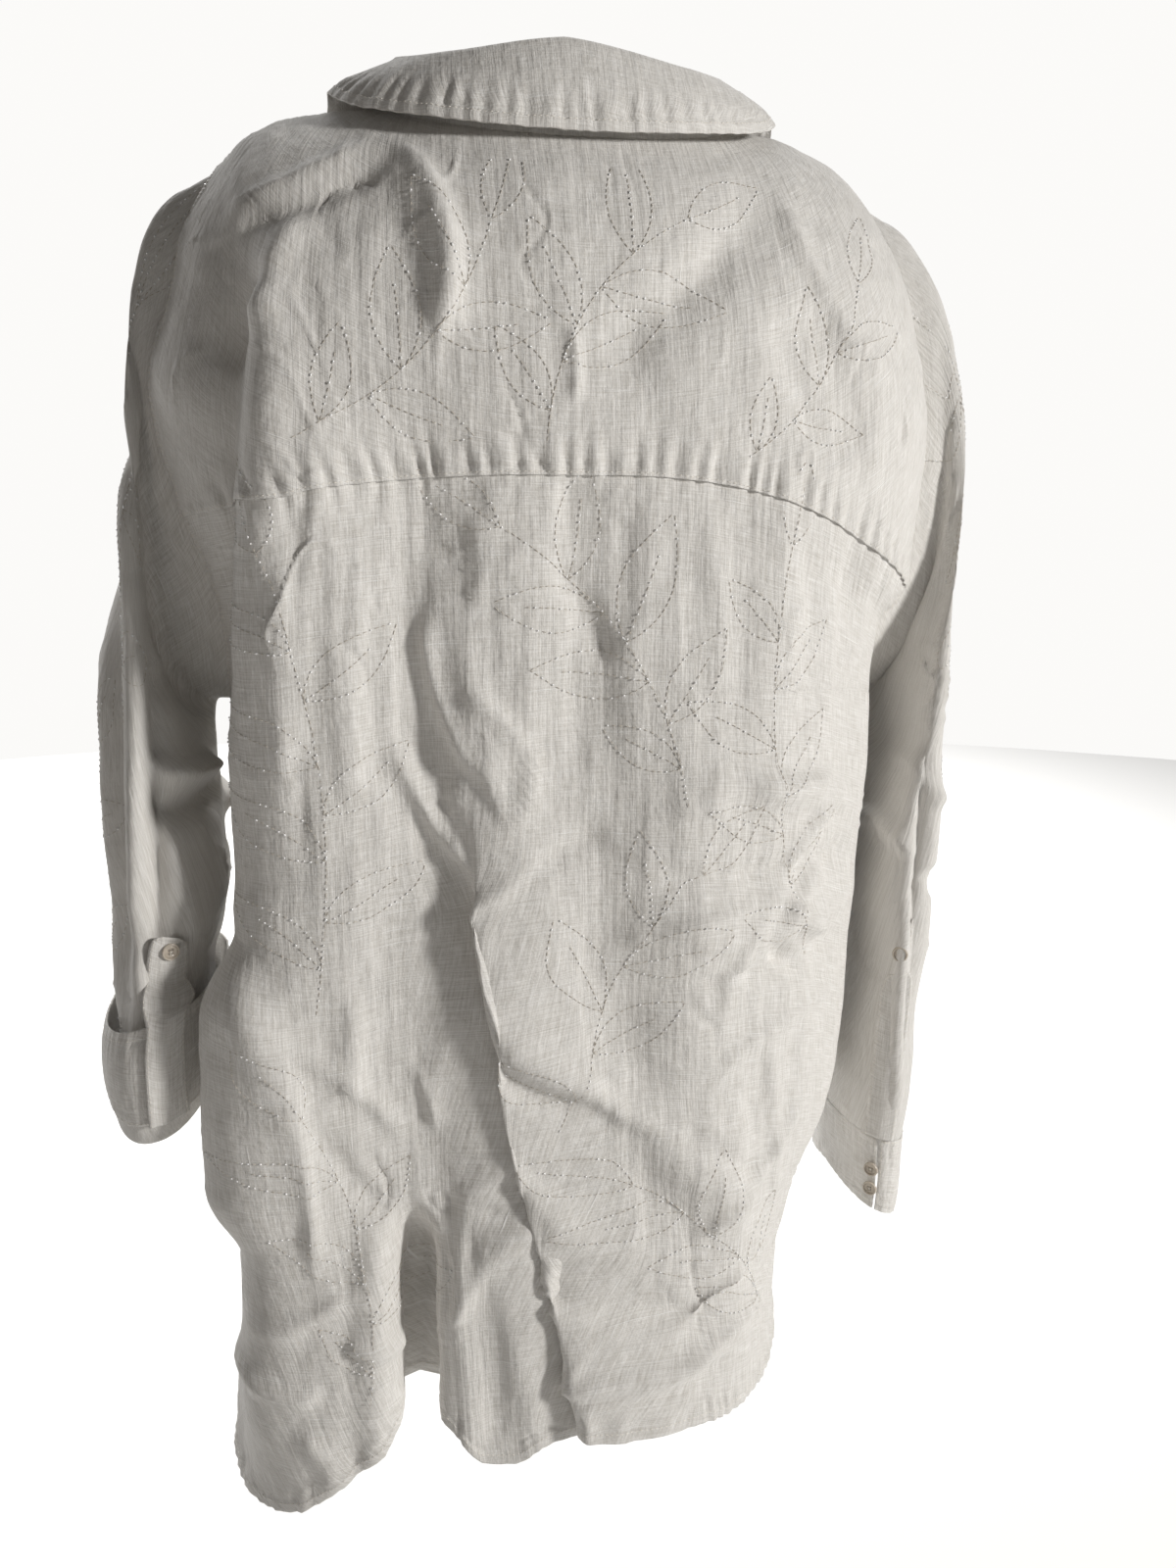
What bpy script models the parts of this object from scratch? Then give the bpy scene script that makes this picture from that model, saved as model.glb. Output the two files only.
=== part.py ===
"""A long-sleeved linen blouse, filled out as if worn, with nobody in it.

All sizes are in metres, +Z is up. The origin is the nape, the middle of the
back neck seam. The front faces -Y, the back +Y, and the wearer's left is +X.

The torso is one surface, torso(turn, ring). turn is an angle round the body:
0 at the left side (+X), 90 at the middle of the back. ring is a fractional row
of RINGS, 0 at the neck seam, growing down to the hem. Each cut piece is a grid
of points on that surface, so pieces meet along their seams.
"""

import math
from collections import namedtuple

import bmesh
import bpy
import numpy as np
from mathutils import Vector

# ---------------------------------------------------------------- driving sizes
WALL = 0.0012            # thickness of the cloth
SEAM = 0.00032           # gap between two pieces along a seam
LIFT = 0.0006            # from a panel to a piece that lies on it

YOKE_SEAM = 7.0          # ring of the seam between yoke and back
ARM_TOP = 3.0            # ring of the shoulder point
ARM_PIT = 9.4            # ring of the underarm
ARM_TILT = -8.0          # turn of the shoulder point, a little to the front
ARM_BACK = 17.0          # how far the armhole opens to the back, degrees
ARM_FRONT = 24.0         # and to the front
NECK_SEAM_TURN = -32.0   # where the shoulder seam leaves the neck
SLIT_TOP = 14.2          # ring where the side slits start
FRONT_HEM = 16.0         # ring of the front hem at its middle

BAND_WIDTH = 0.030       # front bands
NECK_OPEN = 0.040        # half the opening of the fronts at the neck
FIRST_BUTTON = 4.0       # ring of the highest fastened button
BUTTON_COUNT = 6
BUTTON_PITCH = 0.083

BUTTON_RADIUS = 0.0054
BUTTON_HEIGHT = 0.0022

TAB_WIDTH = 0.021
PLACKET_WIDTH = 0.018

# One row for each level of the body, from the neck seam to the back hem:
# half width to the left and right, then how far back or forward, and how high,
# the left side, back and front lie, how square the level is (2 is an ellipse),
# how much lower the right side lies, and how late the level drops to its sides.
Ring = namedtuple("Ring", "left right side_y side_z back_y back_z front_y front_z square skew hang")
RINGS = [
    Ring(0.091, 0.104, -0.062, 0.027, 0.000, 0.000, -0.125, -0.085, 2.1, 0.000, 1.0),
    Ring(0.127, 0.138, -0.070, 0.026, 0.019, -0.026, -0.150, -0.100, 2.2, 0.000, 1.0),
    Ring(0.157, 0.164, -0.077, 0.021, 0.032, -0.056, -0.168, -0.122, 2.4, 0.000, 1.0),
    Ring(0.182, 0.189, -0.082, 0.006, 0.039, -0.084, -0.180, -0.146, 2.6, 0.000, 1.0),
    Ring(0.207, 0.214, -0.085, -0.028, 0.043, -0.110, -0.188, -0.172, 2.7, 0.000, 1.0),
    Ring(0.222, 0.230, -0.086, -0.080, 0.045, -0.134, -0.194, -0.198, 2.7, 0.004, 1.2),
    Ring(0.235, 0.239, -0.086, -0.130, 0.046, -0.156, -0.198, -0.225, 2.7, 0.020, 1.8),
    Ring(0.222, 0.230, -0.086, -0.198, 0.046, -0.177, -0.200, -0.252, 2.7, 0.044, 2.5),
    Ring(0.207, 0.214, -0.086, -0.240, 0.045, -0.215, -0.201, -0.285, 2.7, 0.028, 2.0),
    Ring(0.202, 0.210, -0.086, -0.288, 0.044, -0.272, -0.201, -0.322, 2.7, 0.008, 1.4),
    Ring(0.200, 0.211, -0.086, -0.345, 0.042, -0.335, -0.200, -0.370, 2.7, 0.000, 1.0),
    Ring(0.194, 0.209, -0.086, -0.405, 0.040, -0.400, -0.199, -0.425, 2.7, 0.000, 1.0),
    Ring(0.203, 0.205, -0.086, -0.465, 0.038, -0.462, -0.198, -0.480, 2.7, 0.000, 1.0),
    Ring(0.209, 0.202, -0.086, -0.525, 0.037, -0.525, -0.197, -0.535, 2.7, 0.000, 1.0),
    Ring(0.211, 0.196, -0.086, -0.585, 0.036, -0.588, -0.197, -0.590, 2.7, 0.000, 1.0),
    Ring(0.212, 0.172, -0.086, -0.645, 0.036, -0.650, -0.197, -0.645, 2.7, 0.000, 1.0),
    Ring(0.215, 0.156, -0.084, -0.705, 0.036, -0.712, -0.197, -0.700, 2.7, 0.000, 1.0),
    Ring(0.222, 0.158, -0.080, -0.765, 0.036, -0.774, -0.197, -0.755, 2.7, 0.000, 1.0),
    Ring(0.230, 0.160, -0.080, -0.835, 0.036, -0.846, -0.197, -0.810, 2.7, 0.000, 1.0),
]

# The long crease down the back: the cloth to the wearer's right lies over the
# cloth to the left. x and z of its edge, how far it laps over, how high it stands.
Crease = namedtuple("Crease", "z x lap rise")
CREASE = [
    Crease(-0.270, 0.112, 0.000, 0.000),
    Crease(-0.312, 0.105, 0.000, 0.003),
    Crease(-0.392, 0.070, 0.002, 0.006),
    Crease(-0.439, 0.064, 0.006, 0.008),
    Crease(-0.506, 0.054, 0.012, 0.009),
    Crease(-0.577, 0.043, 0.020, 0.010),
    Crease(-0.648, 0.026, 0.030, 0.010),
    Crease(-0.705, 0.014, 0.038, 0.010),
    Crease(-0.764, 0.002, 0.044, 0.010),
    Crease(-0.850, -0.010, 0.044, 0.010),
]
CREASE_HALF = 0.050      # half the width of cloth that the crease takes up
TROUGH_X = 0.103         # where the deep fold under the back's left half runs
LAP_SLOPE = 0.2634       # v * (1 - v * v) ** 2 at v = 1/3, where the crease turns

# Soft folds of the back, from one end to the other, in x and z: how far the
# middle bows aside, how far it stands out (or sinks in), and its half width.
Fold = namedtuple("Fold", "x1 z1 x2 z2 bow depth width")
BACK_FOLDS = [
    Fold(0.152, -0.060, 0.172, -0.420, -0.006, 0.010, 0.016),
    Fold(0.172, -0.400, 0.196, -0.790, 0.004, 0.012, 0.017),
    Fold(0.180, -0.060, 0.196, -0.330, 0.004, -0.012, 0.014),
    Fold(0.190, -0.460, 0.200, -0.630, 0.000, 0.024, 0.022),
    Fold(0.135, -0.160, 0.146, -0.600, 0.000, 0.004, 0.022),
    Fold(0.088, -0.160, 0.092, -0.470, 0.004, -0.008, 0.022),
    Fold(0.080, -0.225, 0.040, -0.350, -0.008, 0.005, 0.012),
    Fold(0.105, -0.620, 0.101, -0.800, 0.000, -0.024, 0.010),
    Fold(0.125, -0.620, 0.130, -0.800, 0.000, 0.006, 0.010),
    Fold(0.078, -0.640, 0.072, -0.800, 0.000, 0.007, 0.012),
    Fold(0.054, -0.476, -0.113, -0.642, 0.006, 0.006, 0.018),
    Fold(-0.002, -0.646, -0.059, -0.702, 0.004, -0.005, 0.012),
    Fold(-0.059, -0.702, -0.116, -0.671, 0.004, -0.005, 0.012),
    Fold(0.001, -0.180, 0.001, -0.330, 0.003, -0.005, 0.016),
    Fold(-0.110, -0.033, -0.004, -0.125, 0.004, -0.005, 0.018),
    Fold(0.100, -0.007, 0.075, -0.110, 0.014, 0.005, 0.012),
    Fold(-0.129, -0.090, -0.160, -0.165, 0.004, -0.005, 0.016),
    Fold(-0.060, -0.350, -0.190, -0.375, 0.004, 0.005, 0.011),
    Fold(-0.040, -0.408, -0.190, -0.410, 0.004, -0.005, 0.010),
    Fold(-0.060, -0.440, -0.190, -0.440, -0.003, 0.005, 0.010),
    Fold(-0.028, -0.475, -0.185, -0.468, 0.003, -0.004, 0.011),
    Fold(-0.110, -0.180, -0.118, -0.420, 0.003, 0.004, 0.020),
    Fold(-0.165, -0.200, -0.172, -0.560, 0.002, -0.005, 0.015),
    Fold(-0.090, -0.560, -0.100, -0.790, 0.003, 0.005, 0.018),
]
FRONT_FOLDS = [
    Fold(0.070, -0.130, 0.110, -0.560, 0.008, 0.006, 0.022),
    Fold(0.130, -0.200, 0.145, -0.620, 0.004, -0.007, 0.020),
    Fold(-0.085, -0.140, -0.100, -0.600, -0.006, 0.006, 0.024),
    Fold(-0.140, -0.210, -0.130, -0.680, 0.004, -0.007, 0.018),
]

# The back hem: how high it hangs at each place across the cloth.
Hem = namedtuple("Hem", "x z")
BACK_HEM = [
    Hem(-0.160, -0.742), Hem(-0.152, -0.770), Hem(-0.130, -0.781), Hem(-0.060, -0.774),
    Hem(-0.016, -0.767), Hem(0.020, -0.776), Hem(0.040, -0.792), Hem(0.062, -0.792),
    Hem(0.090, -0.764), Hem(0.108, -0.750), Hem(0.124, -0.778), Hem(0.170, -0.820),
    Hem(0.196, -0.833), Hem(0.212, -0.836), Hem(0.224, -0.826),
]

# Sleeve sections from the armhole down: the outer and the underarm side in x
# and z, then the middle and half depth, and how far the back and the front of
# the section bulge away from the body and sag.
Section = namedtuple("Section", "outer_x outer_z inner_x inner_z mid_y half_y bulge sag")
SLEEVE_LEFT = [
    Section(0.206, -0.013, 0.212, -0.312, -0.096, 0.052, 0.032, 0.000),
    Section(0.224, -0.045, 0.214, -0.322, -0.095, 0.056, 0.024, 0.000),
    Section(0.228, -0.098, 0.214, -0.334, -0.094, 0.060, 0.019, 0.000),
    Section(0.241, -0.155, 0.214, -0.348, -0.093, 0.065, 0.014, 0.000),
    Section(0.259, -0.215, 0.213, -0.366, -0.092, 0.069, 0.009, 0.000),
    Section(0.273, -0.275, 0.212, -0.386, -0.091, 0.072, 0.004, 0.000),
    Section(0.280, -0.335, 0.212, -0.408, -0.090, 0.073, 0.000, 0.000),
    Section(0.282, -0.385, 0.212, -0.430, -0.089, 0.072, 0.000, 0.000),
    Section(0.280, -0.430, 0.217, -0.453, -0.088, 0.071, 0.000, 0.000),
    Section(0.279, -0.468, 0.224, -0.474, -0.087, 0.070, 0.000, 0.000),
    Section(0.281, -0.500, 0.226, -0.498, -0.086, 0.071, 0.000, 0.002),
    Section(0.284, -0.532, 0.227, -0.524, -0.086, 0.073, 0.000, 0.008),
    Section(0.282, -0.560, 0.230, -0.550, -0.086, 0.072, 0.000, 0.014),
]
# The turn-up of the left sleeve, from its fold upwards.
TURN_LEFT = [
    Section(0.2840, -0.5622, 0.2280, -0.5522, -0.086, 0.0740, 0.000, 0.014),
    Section(0.287, -0.560, 0.225, -0.550, -0.086, 0.077, 0.000, 0.014),
    Section(0.289, -0.550, 0.222, -0.541, -0.086, 0.081, 0.000, 0.011),
]
CUFF_LEFT = [
    Section(0.289, -0.550, 0.222, -0.541, -0.086, 0.081, 0.000, 0.011),
    Section(0.292, -0.538, 0.220, -0.524, -0.086, 0.083, 0.000, 0.008),
    Section(0.292, -0.522, 0.219, -0.502, -0.086, 0.083, 0.000, 0.002),
    Section(0.288, -0.506, 0.218, -0.482, -0.086, 0.081, 0.000, 0.000),
]
SLEEVE_RIGHT = [
    Section(0.213, -0.011, 0.220, -0.312, -0.096, 0.052, 0.033, 0.000),
    Section(0.238, -0.040, 0.222, -0.322, -0.095, 0.056, 0.024, 0.000),
    Section(0.253, -0.084, 0.222, -0.334, -0.094, 0.060, 0.019, 0.000),
    Section(0.256, -0.134, 0.222, -0.348, -0.093, 0.064, 0.015, 0.000),
    Section(0.255, -0.192, 0.221, -0.366, -0.092, 0.067, 0.011, 0.000),
    Section(0.255, -0.247, 0.220, -0.388, -0.091, 0.069, 0.007, 0.000),
    Section(0.256, -0.310, 0.219, -0.415, -0.091, 0.070, 0.002, 0.000),
    Section(0.262, -0.370, 0.218, -0.445, -0.092, 0.070, 0.000, 0.000),
    Section(0.260, -0.430, 0.217, -0.480, -0.093, 0.070, 0.000, 0.000),
    Section(0.260, -0.490, 0.216, -0.515, -0.094, 0.069, 0.000, 0.000),
    Section(0.263, -0.550, 0.213, -0.556, -0.096, 0.067, 0.000, 0.000),
    Section(0.265, -0.600, 0.212, -0.594, -0.098, 0.064, 0.000, 0.000),
    Section(0.263, -0.642, 0.214, -0.630, -0.100, 0.059, 0.000, 0.000),
]
CUFF_RIGHT = [
    Section(0.263, -0.642, 0.214, -0.630, -0.100, 0.059, 0.000, 0.000),
    Section(0.264, -0.664, 0.215, -0.650, -0.101, 0.058, 0.000, 0.002),
    Section(0.264, -0.684, 0.216, -0.668, -0.102, 0.057, 0.000, 0.004),
    Section(0.262, -0.700, 0.217, -0.682, -0.103, 0.056, 0.000, 0.006),
]
CUFF_SLIT_HALF = 1.5     # half the opening of a cuff, degrees round the sleeve

# The collar, along the neck seam: the stand's height and lean, and where the
# fall's edge lies: its ring on the torso, its height over it and its spread.
Collar = namedtuple("Collar", "turn height lean edge_ring edge_up edge_out")
COLLAR = [
    Collar(-75.0, 0.024, 0.006, 2.60, 0.009, 0.002),
    Collar(-50.0, 0.024, 0.004, 1.60, 0.009, 0.002),
    Collar(-20.0, 0.023, 0.001, 1.15, 0.009, 0.002),
    Collar(10.0, 0.026, -0.005, 0.85, 0.010, 0.002),
    Collar(45.0, 0.034, -0.006, 0.38, 0.006, 0.009),
    Collar(90.0, 0.048, -0.009, 0.12, 0.002, 0.010),
]

LINEN = (0.86, 0.84, 0.80, 1.0)
SHELL_BUTTON = (0.80, 0.77, 0.71, 1.0)


# ---------------------------------------------------------------- small helpers
def along(table, where):
    """Rows of a table read smoothly at fractional row numbers."""
    rows = np.array(table, dtype=float)
    where = np.clip(np.asarray(where, dtype=float), 0.0, len(rows) - 1.0)
    low = np.minimum(where.astype(int), len(rows) - 2)
    part = (where - low)[..., None]
    before = rows[np.maximum(low - 1, 0)]
    start = rows[low]
    end = rows[low + 1]
    after = rows[np.minimum(low + 2, len(rows) - 1)]
    slope = end - before
    bend = 2 * before - 5 * start + 4 * end - after
    twist = 3 * start - before - 3 * end + after
    return start + 0.5 * part * (slope + part * (bend + part * twist))


def smooth(value):
    """An easy step from 0 to 1."""
    value = np.clip(value, 0.0, 1.0)
    return value * value * (3.0 - 2.0 * value)


def power(value, exponent):
    """A power that keeps the sign."""
    return np.sign(value) * np.abs(value) ** exponent


def unit(vectors):
    """Vectors of length 1."""
    return vectors / np.maximum(np.linalg.norm(vectors, axis=-1, keepdims=True), 1e-12)


# ---------------------------------------------------------------- the torso
def level(turn, ring):
    """The plain torso without folds."""
    turn, ring = np.broadcast_arrays(np.asarray(turn, float), np.asarray(ring, float))
    row = along(RINGS, ring)
    left, right, side_y, side_z, back_y, back_z, front_y, front_z, square, skew, hang = np.moveaxis(row, -1, 0)
    across = np.cos(np.radians(turn))
    out = np.sin(np.radians(turn))
    x = power(across, 2.0 / square) * np.where(across > 0, left, right)
    depth = np.abs(out) ** (2.0 / square)
    y = side_y + depth * np.where(out > 0, back_y - side_y, front_y - side_y)
    side_z = side_z - np.where(across > 0, 0.0, skew)
    z = side_z + np.abs(out) ** hang * np.where(out > 0, back_z - side_z, front_z - side_z)
    return np.stack([x, y, z], -1)


def fold_height(folds, x, z):
    """How far a set of folds lifts the cloth at x, z."""
    lift = np.zeros_like(x)
    for fold in folds:
        run_x, run_z = fold.x2 - fold.x1, fold.z2 - fold.z1
        length = math.hypot(run_x, run_z)
        run = ((x - fold.x1) * run_x + (z - fold.z1) * run_z) / length**2
        aside = ((x - fold.x1) * run_z - (z - fold.z1) * run_x) / length
        inside = np.clip(run, 0.0, 1.0)
        aside = aside - fold.bow * 4.0 * inside * (1.0 - inside)
        ends = smooth((run + 0.12) / 0.3) * smooth((1.12 - run) / 0.3)
        lift = lift + fold.depth * ends * np.exp(-(aside / fold.width) ** 2)
    return lift


def crease_at(z):
    """Edge, lap and rise of the long crease at a height."""
    rows = sorted(CREASE)
    heights = [row.z for row in rows]
    return [np.interp(z, heights, [getattr(row, name) for row in rows]) for name in ("x", "lap", "rise")]


def torso(turn, ring):
    """The torso with its folds."""
    turn, ring = np.broadcast_arrays(np.asarray(turn, float), np.asarray(ring, float))
    flat = level(turn, ring)
    d_turn = level(turn + 0.5, ring) - level(turn - 0.5, ring)
    d_ring = level(turn, ring + 0.05) - level(turn, np.maximum(ring - 0.05, 0.0))
    normal = unit(np.cross(d_ring, d_turn))
    across = unit(d_turn)
    x, z = flat[..., 0], flat[..., 2]
    facing = np.sin(np.radians(turn))
    back = smooth((facing - 0.12) / 0.35)
    front = smooth((-facing - 0.25) / 0.35)
    calm = smooth((ring - 0.4) / 1.6)
    lift = back * calm * fold_height(BACK_FOLDS, x, z) + front * calm * fold_height(FRONT_FOLDS, x, z)
    edge, lap, rise = crease_at(z)
    part = (edge - lap / 2.0 - x) / CREASE_HALF
    near = np.clip(part, -1.0, 1.0)
    pull = (CREASE_HALF / 3.0 + lap / 2.0) / LAP_SLOPE * smooth(lap / 0.006)
    slide = pull * near * (1.0 - near**2) ** 2
    stand = rise * smooth((part + 0.40) / 0.80) * (1.0 - smooth((part - 0.55) / 1.1))
    behind = np.where(facing > 0.3, 1.0, 0.0)
    lift = lift + behind * stand
    return flat + normal * lift[..., None] - across * (behind * slide)[..., None]


def torso_normal(turn, ring):
    """Outward normal of the folded torso."""
    d_turn = torso(turn + 0.15, ring) - torso(turn - 0.15, ring)
    d_ring = torso(turn, ring + 0.02) - torso(turn, np.maximum(ring - 0.02, 0.0))
    return unit(np.cross(d_ring, d_turn))


def body_wall(turn, ring, out=0.0):
    """Outer and inner points of cloth on the torso, moved out by a distance."""
    points = torso(turn, ring)
    normal = torso_normal(turn, ring)
    return points + normal * out, points + normal * (out - WALL)


# ---------------------------------------------------------------- cloth pieces
def material(name, colour, roughness):
    """A plain finish for a sub-part."""
    made = bpy.data.materials.new(name)
    made.use_nodes = True
    shader = made.node_tree.nodes["Principled BSDF"]
    shader.inputs["Base Color"].default_value = colour
    shader.inputs["Roughness"].default_value = roughness
    made.diffuse_color = colour
    return made


def add_object(name, bm, colour=LINEN, roughness=0.85):
    """A named object from a finished bmesh, with its own finish."""
    bmesh.ops.recalc_face_normals(bm, faces=bm.faces[:])
    mesh = bpy.data.meshes.new(name)
    bm.to_mesh(mesh)
    bm.free()
    mesh.shade_smooth()
    mesh.set_sharp_from_angle(angle=math.radians(50))
    mesh.materials.append(material(name, colour, roughness))
    made = bpy.data.objects.new(name, mesh)
    bpy.context.collection.objects.link(made)
    return made


def trim(points, closed):
    """Draw the edges of a grid of points in by half the gap of a seam."""
    drawn = points.copy()
    drawn[0] += unit(points[1] - points[0]) * SEAM / 2
    drawn[-1] += unit(points[-2] - points[-1]) * SEAM / 2
    if not closed:
        drawn[:, 0] += unit(points[:, 1] - points[:, 0]) * SEAM / 2
        drawn[:, -1] += unit(points[:, -2] - points[:, -1]) * SEAM / 2
    return drawn


def cloth(name, outer, inner, closed=False):
    """A cut piece: a grid on its outer points, walled to its inner points."""
    outer = trim(outer, closed)
    inner = trim(inner, closed)
    rows, columns = outer.shape[:2]
    spans = columns if closed else columns - 1
    bm = bmesh.new()
    place = bm.verts.layers.int.new("place")
    bmesh.ops.create_grid(bm, x_segments=spans, y_segments=rows - 1, size=0.5)
    for vert in bm.verts:
        row = round((vert.co.y + 0.5) * (rows - 1))
        column = round((vert.co.x + 0.5) * spans) % columns
        vert[place] = row * columns + column
        vert.co = outer[row, column]
    if closed:
        bmesh.ops.remove_doubles(bm, verts=bm.verts[:], dist=1e-6)
    grown = bmesh.ops.extrude_face_region(bm, geom=bm.faces[:], use_keep_orig=True)
    for vert in grown["geom"]:
        if isinstance(vert, bmesh.types.BMVert):
            vert.co = inner[divmod(vert[place], columns)]
    return add_object(name, bm)


def torso_piece(name, turns, rings, out=0.0):
    """A piece of the torso from grids of turns and rings."""
    outer, inner = body_wall(turns, rings, out)
    return cloth(name, outer, inner)


# ---------------------------------------------------------------- torso pieces
def arm_ring(swing):
    """Ring at a place round the armhole, 0 at the shoulder, 180 under the arm."""
    return ARM_TOP + (ARM_PIT - ARM_TOP) * (1.0 - math.cos(math.radians(swing))) / 2.0


def arm_swing(ring):
    """Place round the armhole of a ring."""
    part = (ring - ARM_TOP) / (ARM_PIT - ARM_TOP)
    return math.degrees(math.acos(max(-1.0, min(1.0, 1.0 - 2.0 * part))))


def arm_turn(ring, reach):
    """Turn of the armhole's back (reach above 0) or front edge (below 0)."""
    part = (ring - ARM_TOP) / (ARM_PIT - ARM_TOP)
    return ARM_TILT * (1.0 - part) + reach * math.sin(math.radians(arm_swing(ring)))


def back_end(ring):
    """Turn where a back piece ends on the left, mirrored on the right."""
    if ring <= ARM_TOP:
        return NECK_SEAM_TURN + (ARM_TILT - NECK_SEAM_TURN) * ring / ARM_TOP
    if ring <= ARM_PIT:
        return arm_turn(ring, ARM_BACK)
    return 2.5 * max(0.0, ring - SLIT_TOP)


def front_end(ring):
    """Turn where a front piece ends at its side."""
    if ring <= ARM_TOP:
        return back_end(ring)
    if ring <= ARM_PIT:
        return arm_turn(ring, -ARM_FRONT)
    return -4.0 * max(0.0, ring - SLIT_TOP) ** 1.3


def turn_of(x, ring):
    """Turn where a level of the back lies at x."""
    row = along(RINGS, ring)
    half = row[0] if x > 0 else row[1]
    share = min(1.0, abs(x) / half) ** (row[8] / 2.0)
    return math.degrees(math.acos(math.copysign(share, x)))


SWING_STEP = 180.0 / 9.0
SEAM_SWING = arm_swing(YOKE_SEAM)
ARM_SWINGS = [SEAM_SWING * step / 5 for step in range(5)]
ARM_SWINGS += [SEAM_SWING + (180.0 - SEAM_SWING) * step / 4 for step in range(5)]
ARM_SWINGS += [180.0 + SWING_STEP * step for step in range(1, 9)]
YOKE_RINGS = [0.0, 1.0, 2.0] + [arm_ring(SEAM_SWING * step / 5) for step in range(6)]
BACK_ARM_RINGS = [arm_ring(SEAM_SWING + (180.0 - SEAM_SWING) * step / 4) for step in range(5)]
SIDE_RINGS = [10.0, 10.7, 11.4, 12.1, 12.8, 13.4, 14.0]
BACK_RINGS = BACK_ARM_RINGS + SIDE_RINGS
FRONT_RINGS = [0.0, 1.0, 2.0] + [arm_ring(SWING_STEP * step) for step in range(10)] + SIDE_RINGS
HEM_STEPS = (0.2, 0.4, 0.6, 0.8, 1.0)    # rows from the last side ring down to the hem
HEM_RING = 17.0          # ring at the back hem's middle
TROUGH_REACH = 6.5       # degrees of close columns either side of the deep fold
CREASE_SHARE = 0.70      # share of the crease's width with close columns
CREASE_CLEAR = 2.0       # least degrees between the two


def back_columns(ring):
    """Turns across the back: closer together at the deep fold and the crease."""
    height = float(along(RINGS, ring)[5])
    start = back_end(ring)
    end = 180.0 - start
    edge, lap, _ = (float(value) for value in crease_at(height))
    crease = turn_of(edge - lap / 2.0, ring)
    spread = math.degrees(CREASE_HALF / float(along(RINGS, ring)[0])) * CREASE_SHARE
    near = min(turn_of(TROUGH_X, ring) + TROUGH_REACH, crease - spread - CREASE_CLEAR)
    stops = [(start, 0), (near - 2.0 * TROUGH_REACH, 6), (near, 6), (crease - spread, 2)]
    stops += [(crease + spread, 12), (crease + spread * 1.7, 2), (end, 11)]
    turns = [start]
    for (low, _), (high, steps) in zip(stops, stops[1:]):
        turns += [low + (high - low) * step / steps for step in range(1, steps + 1)]
    return np.array(turns)


def back_hem_ring(turn):
    """Ring of the back hem at a turn."""
    rows = sorted(BACK_HEM)
    x = float(level(turn, HEM_RING)[0])
    height = np.interp(x, [row.x for row in rows], [row.z for row in rows])
    heights = [-row.back_z for row in RINGS]
    return float(np.interp(-height, heights, range(len(RINGS))))


def back_yoke():
    """The yoke, from the shoulder seams over the shoulders to the seam below."""
    seam = back_columns(YOKE_SEAM)
    share = (seam - seam[0]) / (seam[-1] - seam[0])
    turns = np.array([back_end(ring) + (180.0 - 2.0 * back_end(ring)) * share for ring in YOKE_RINGS])
    rings = np.repeat(np.array(YOKE_RINGS)[:, None], turns.shape[1], 1)
    torso_piece("back_yoke", turns, rings)


def back_panel():
    """The back, from the yoke seam to the hem, with its side slits."""
    turns = [back_columns(ring) for ring in BACK_RINGS]
    rings = [np.full(turns[0].shape, ring) for ring in BACK_RINGS]
    last = BACK_RINGS[-1]
    for step in HEM_STEPS:
        columns = back_columns(last + (HEM_RING - last) * step)
        hem = np.array([back_hem_ring(turn) for turn in columns])
        turns.append(columns)
        rings.append(last + (hem - last) * step)
    torso_piece("back_panel", np.array(turns), np.array(rings))


def band_offset(ring):
    """How far the middle of a front band stands aside at a ring."""
    return NECK_OPEN * max(0.0, 1.0 - ring / FIRST_BUTTON) ** 1.2


def front_turn(x, ring):
    """Turn on the front at x."""
    row = along(RINGS, ring)
    share = (abs(x) / row[0]) ** (row[8] / 2.0)
    return -math.degrees(math.acos(math.copysign(min(1.0, share), x)))


def front_hem_ring(part):
    """Ring of the front hem, part 0 at the side and 1 at the middle."""
    return SLIT_TOP + 0.55 + (FRONT_HEM - SLIT_TOP - 0.55) * math.sin(min(1.0, part * 1.6) * math.pi / 2)


def front_columns(ring, side, count=12):
    """Turns across a front, from its side to its band."""
    start = front_end(ring)
    if side < 0:
        start = -180.0 - start
    seam = front_turn(side * (band_offset(ring) + BAND_WIDTH / 2), ring)
    return np.array([start + (seam - start) * step / count for step in range(count + 1)])


def front_panel(name, side):
    """A front, from the shoulder and armhole to its band and its rounded hem."""
    turns = [front_columns(ring, side) for ring in FRONT_RINGS]
    rings = [np.full(turns[0].shape, ring) for ring in FRONT_RINGS]
    last = FRONT_RINGS[-1]
    hem = np.array([front_hem_ring(step / (len(turns[0]) - 1)) for step in range(len(turns[0]))])
    for step in HEM_STEPS:
        turns.append(front_columns(last + (FRONT_HEM - last) * step, side))
        rings.append(last + (hem - last) * step)
    torso_piece(name, np.array(turns), np.array(rings))


def front_band(name, side, out):
    """The band that carries the buttons or the buttonholes."""
    steps = (-1.0, 0.0, 1.0)
    last = FRONT_RINGS[-1]
    rows = FRONT_RINGS + [last + (FRONT_HEM - last) * step for step in HEM_STEPS]
    turns = np.array([[front_turn(side * (band_offset(ring) - step * BAND_WIDTH / 2), ring)
                       for step in steps] for ring in rows])
    rings = np.array([[ring] * 3 for ring in rows])
    torso_piece(name, turns, rings, out)


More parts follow.
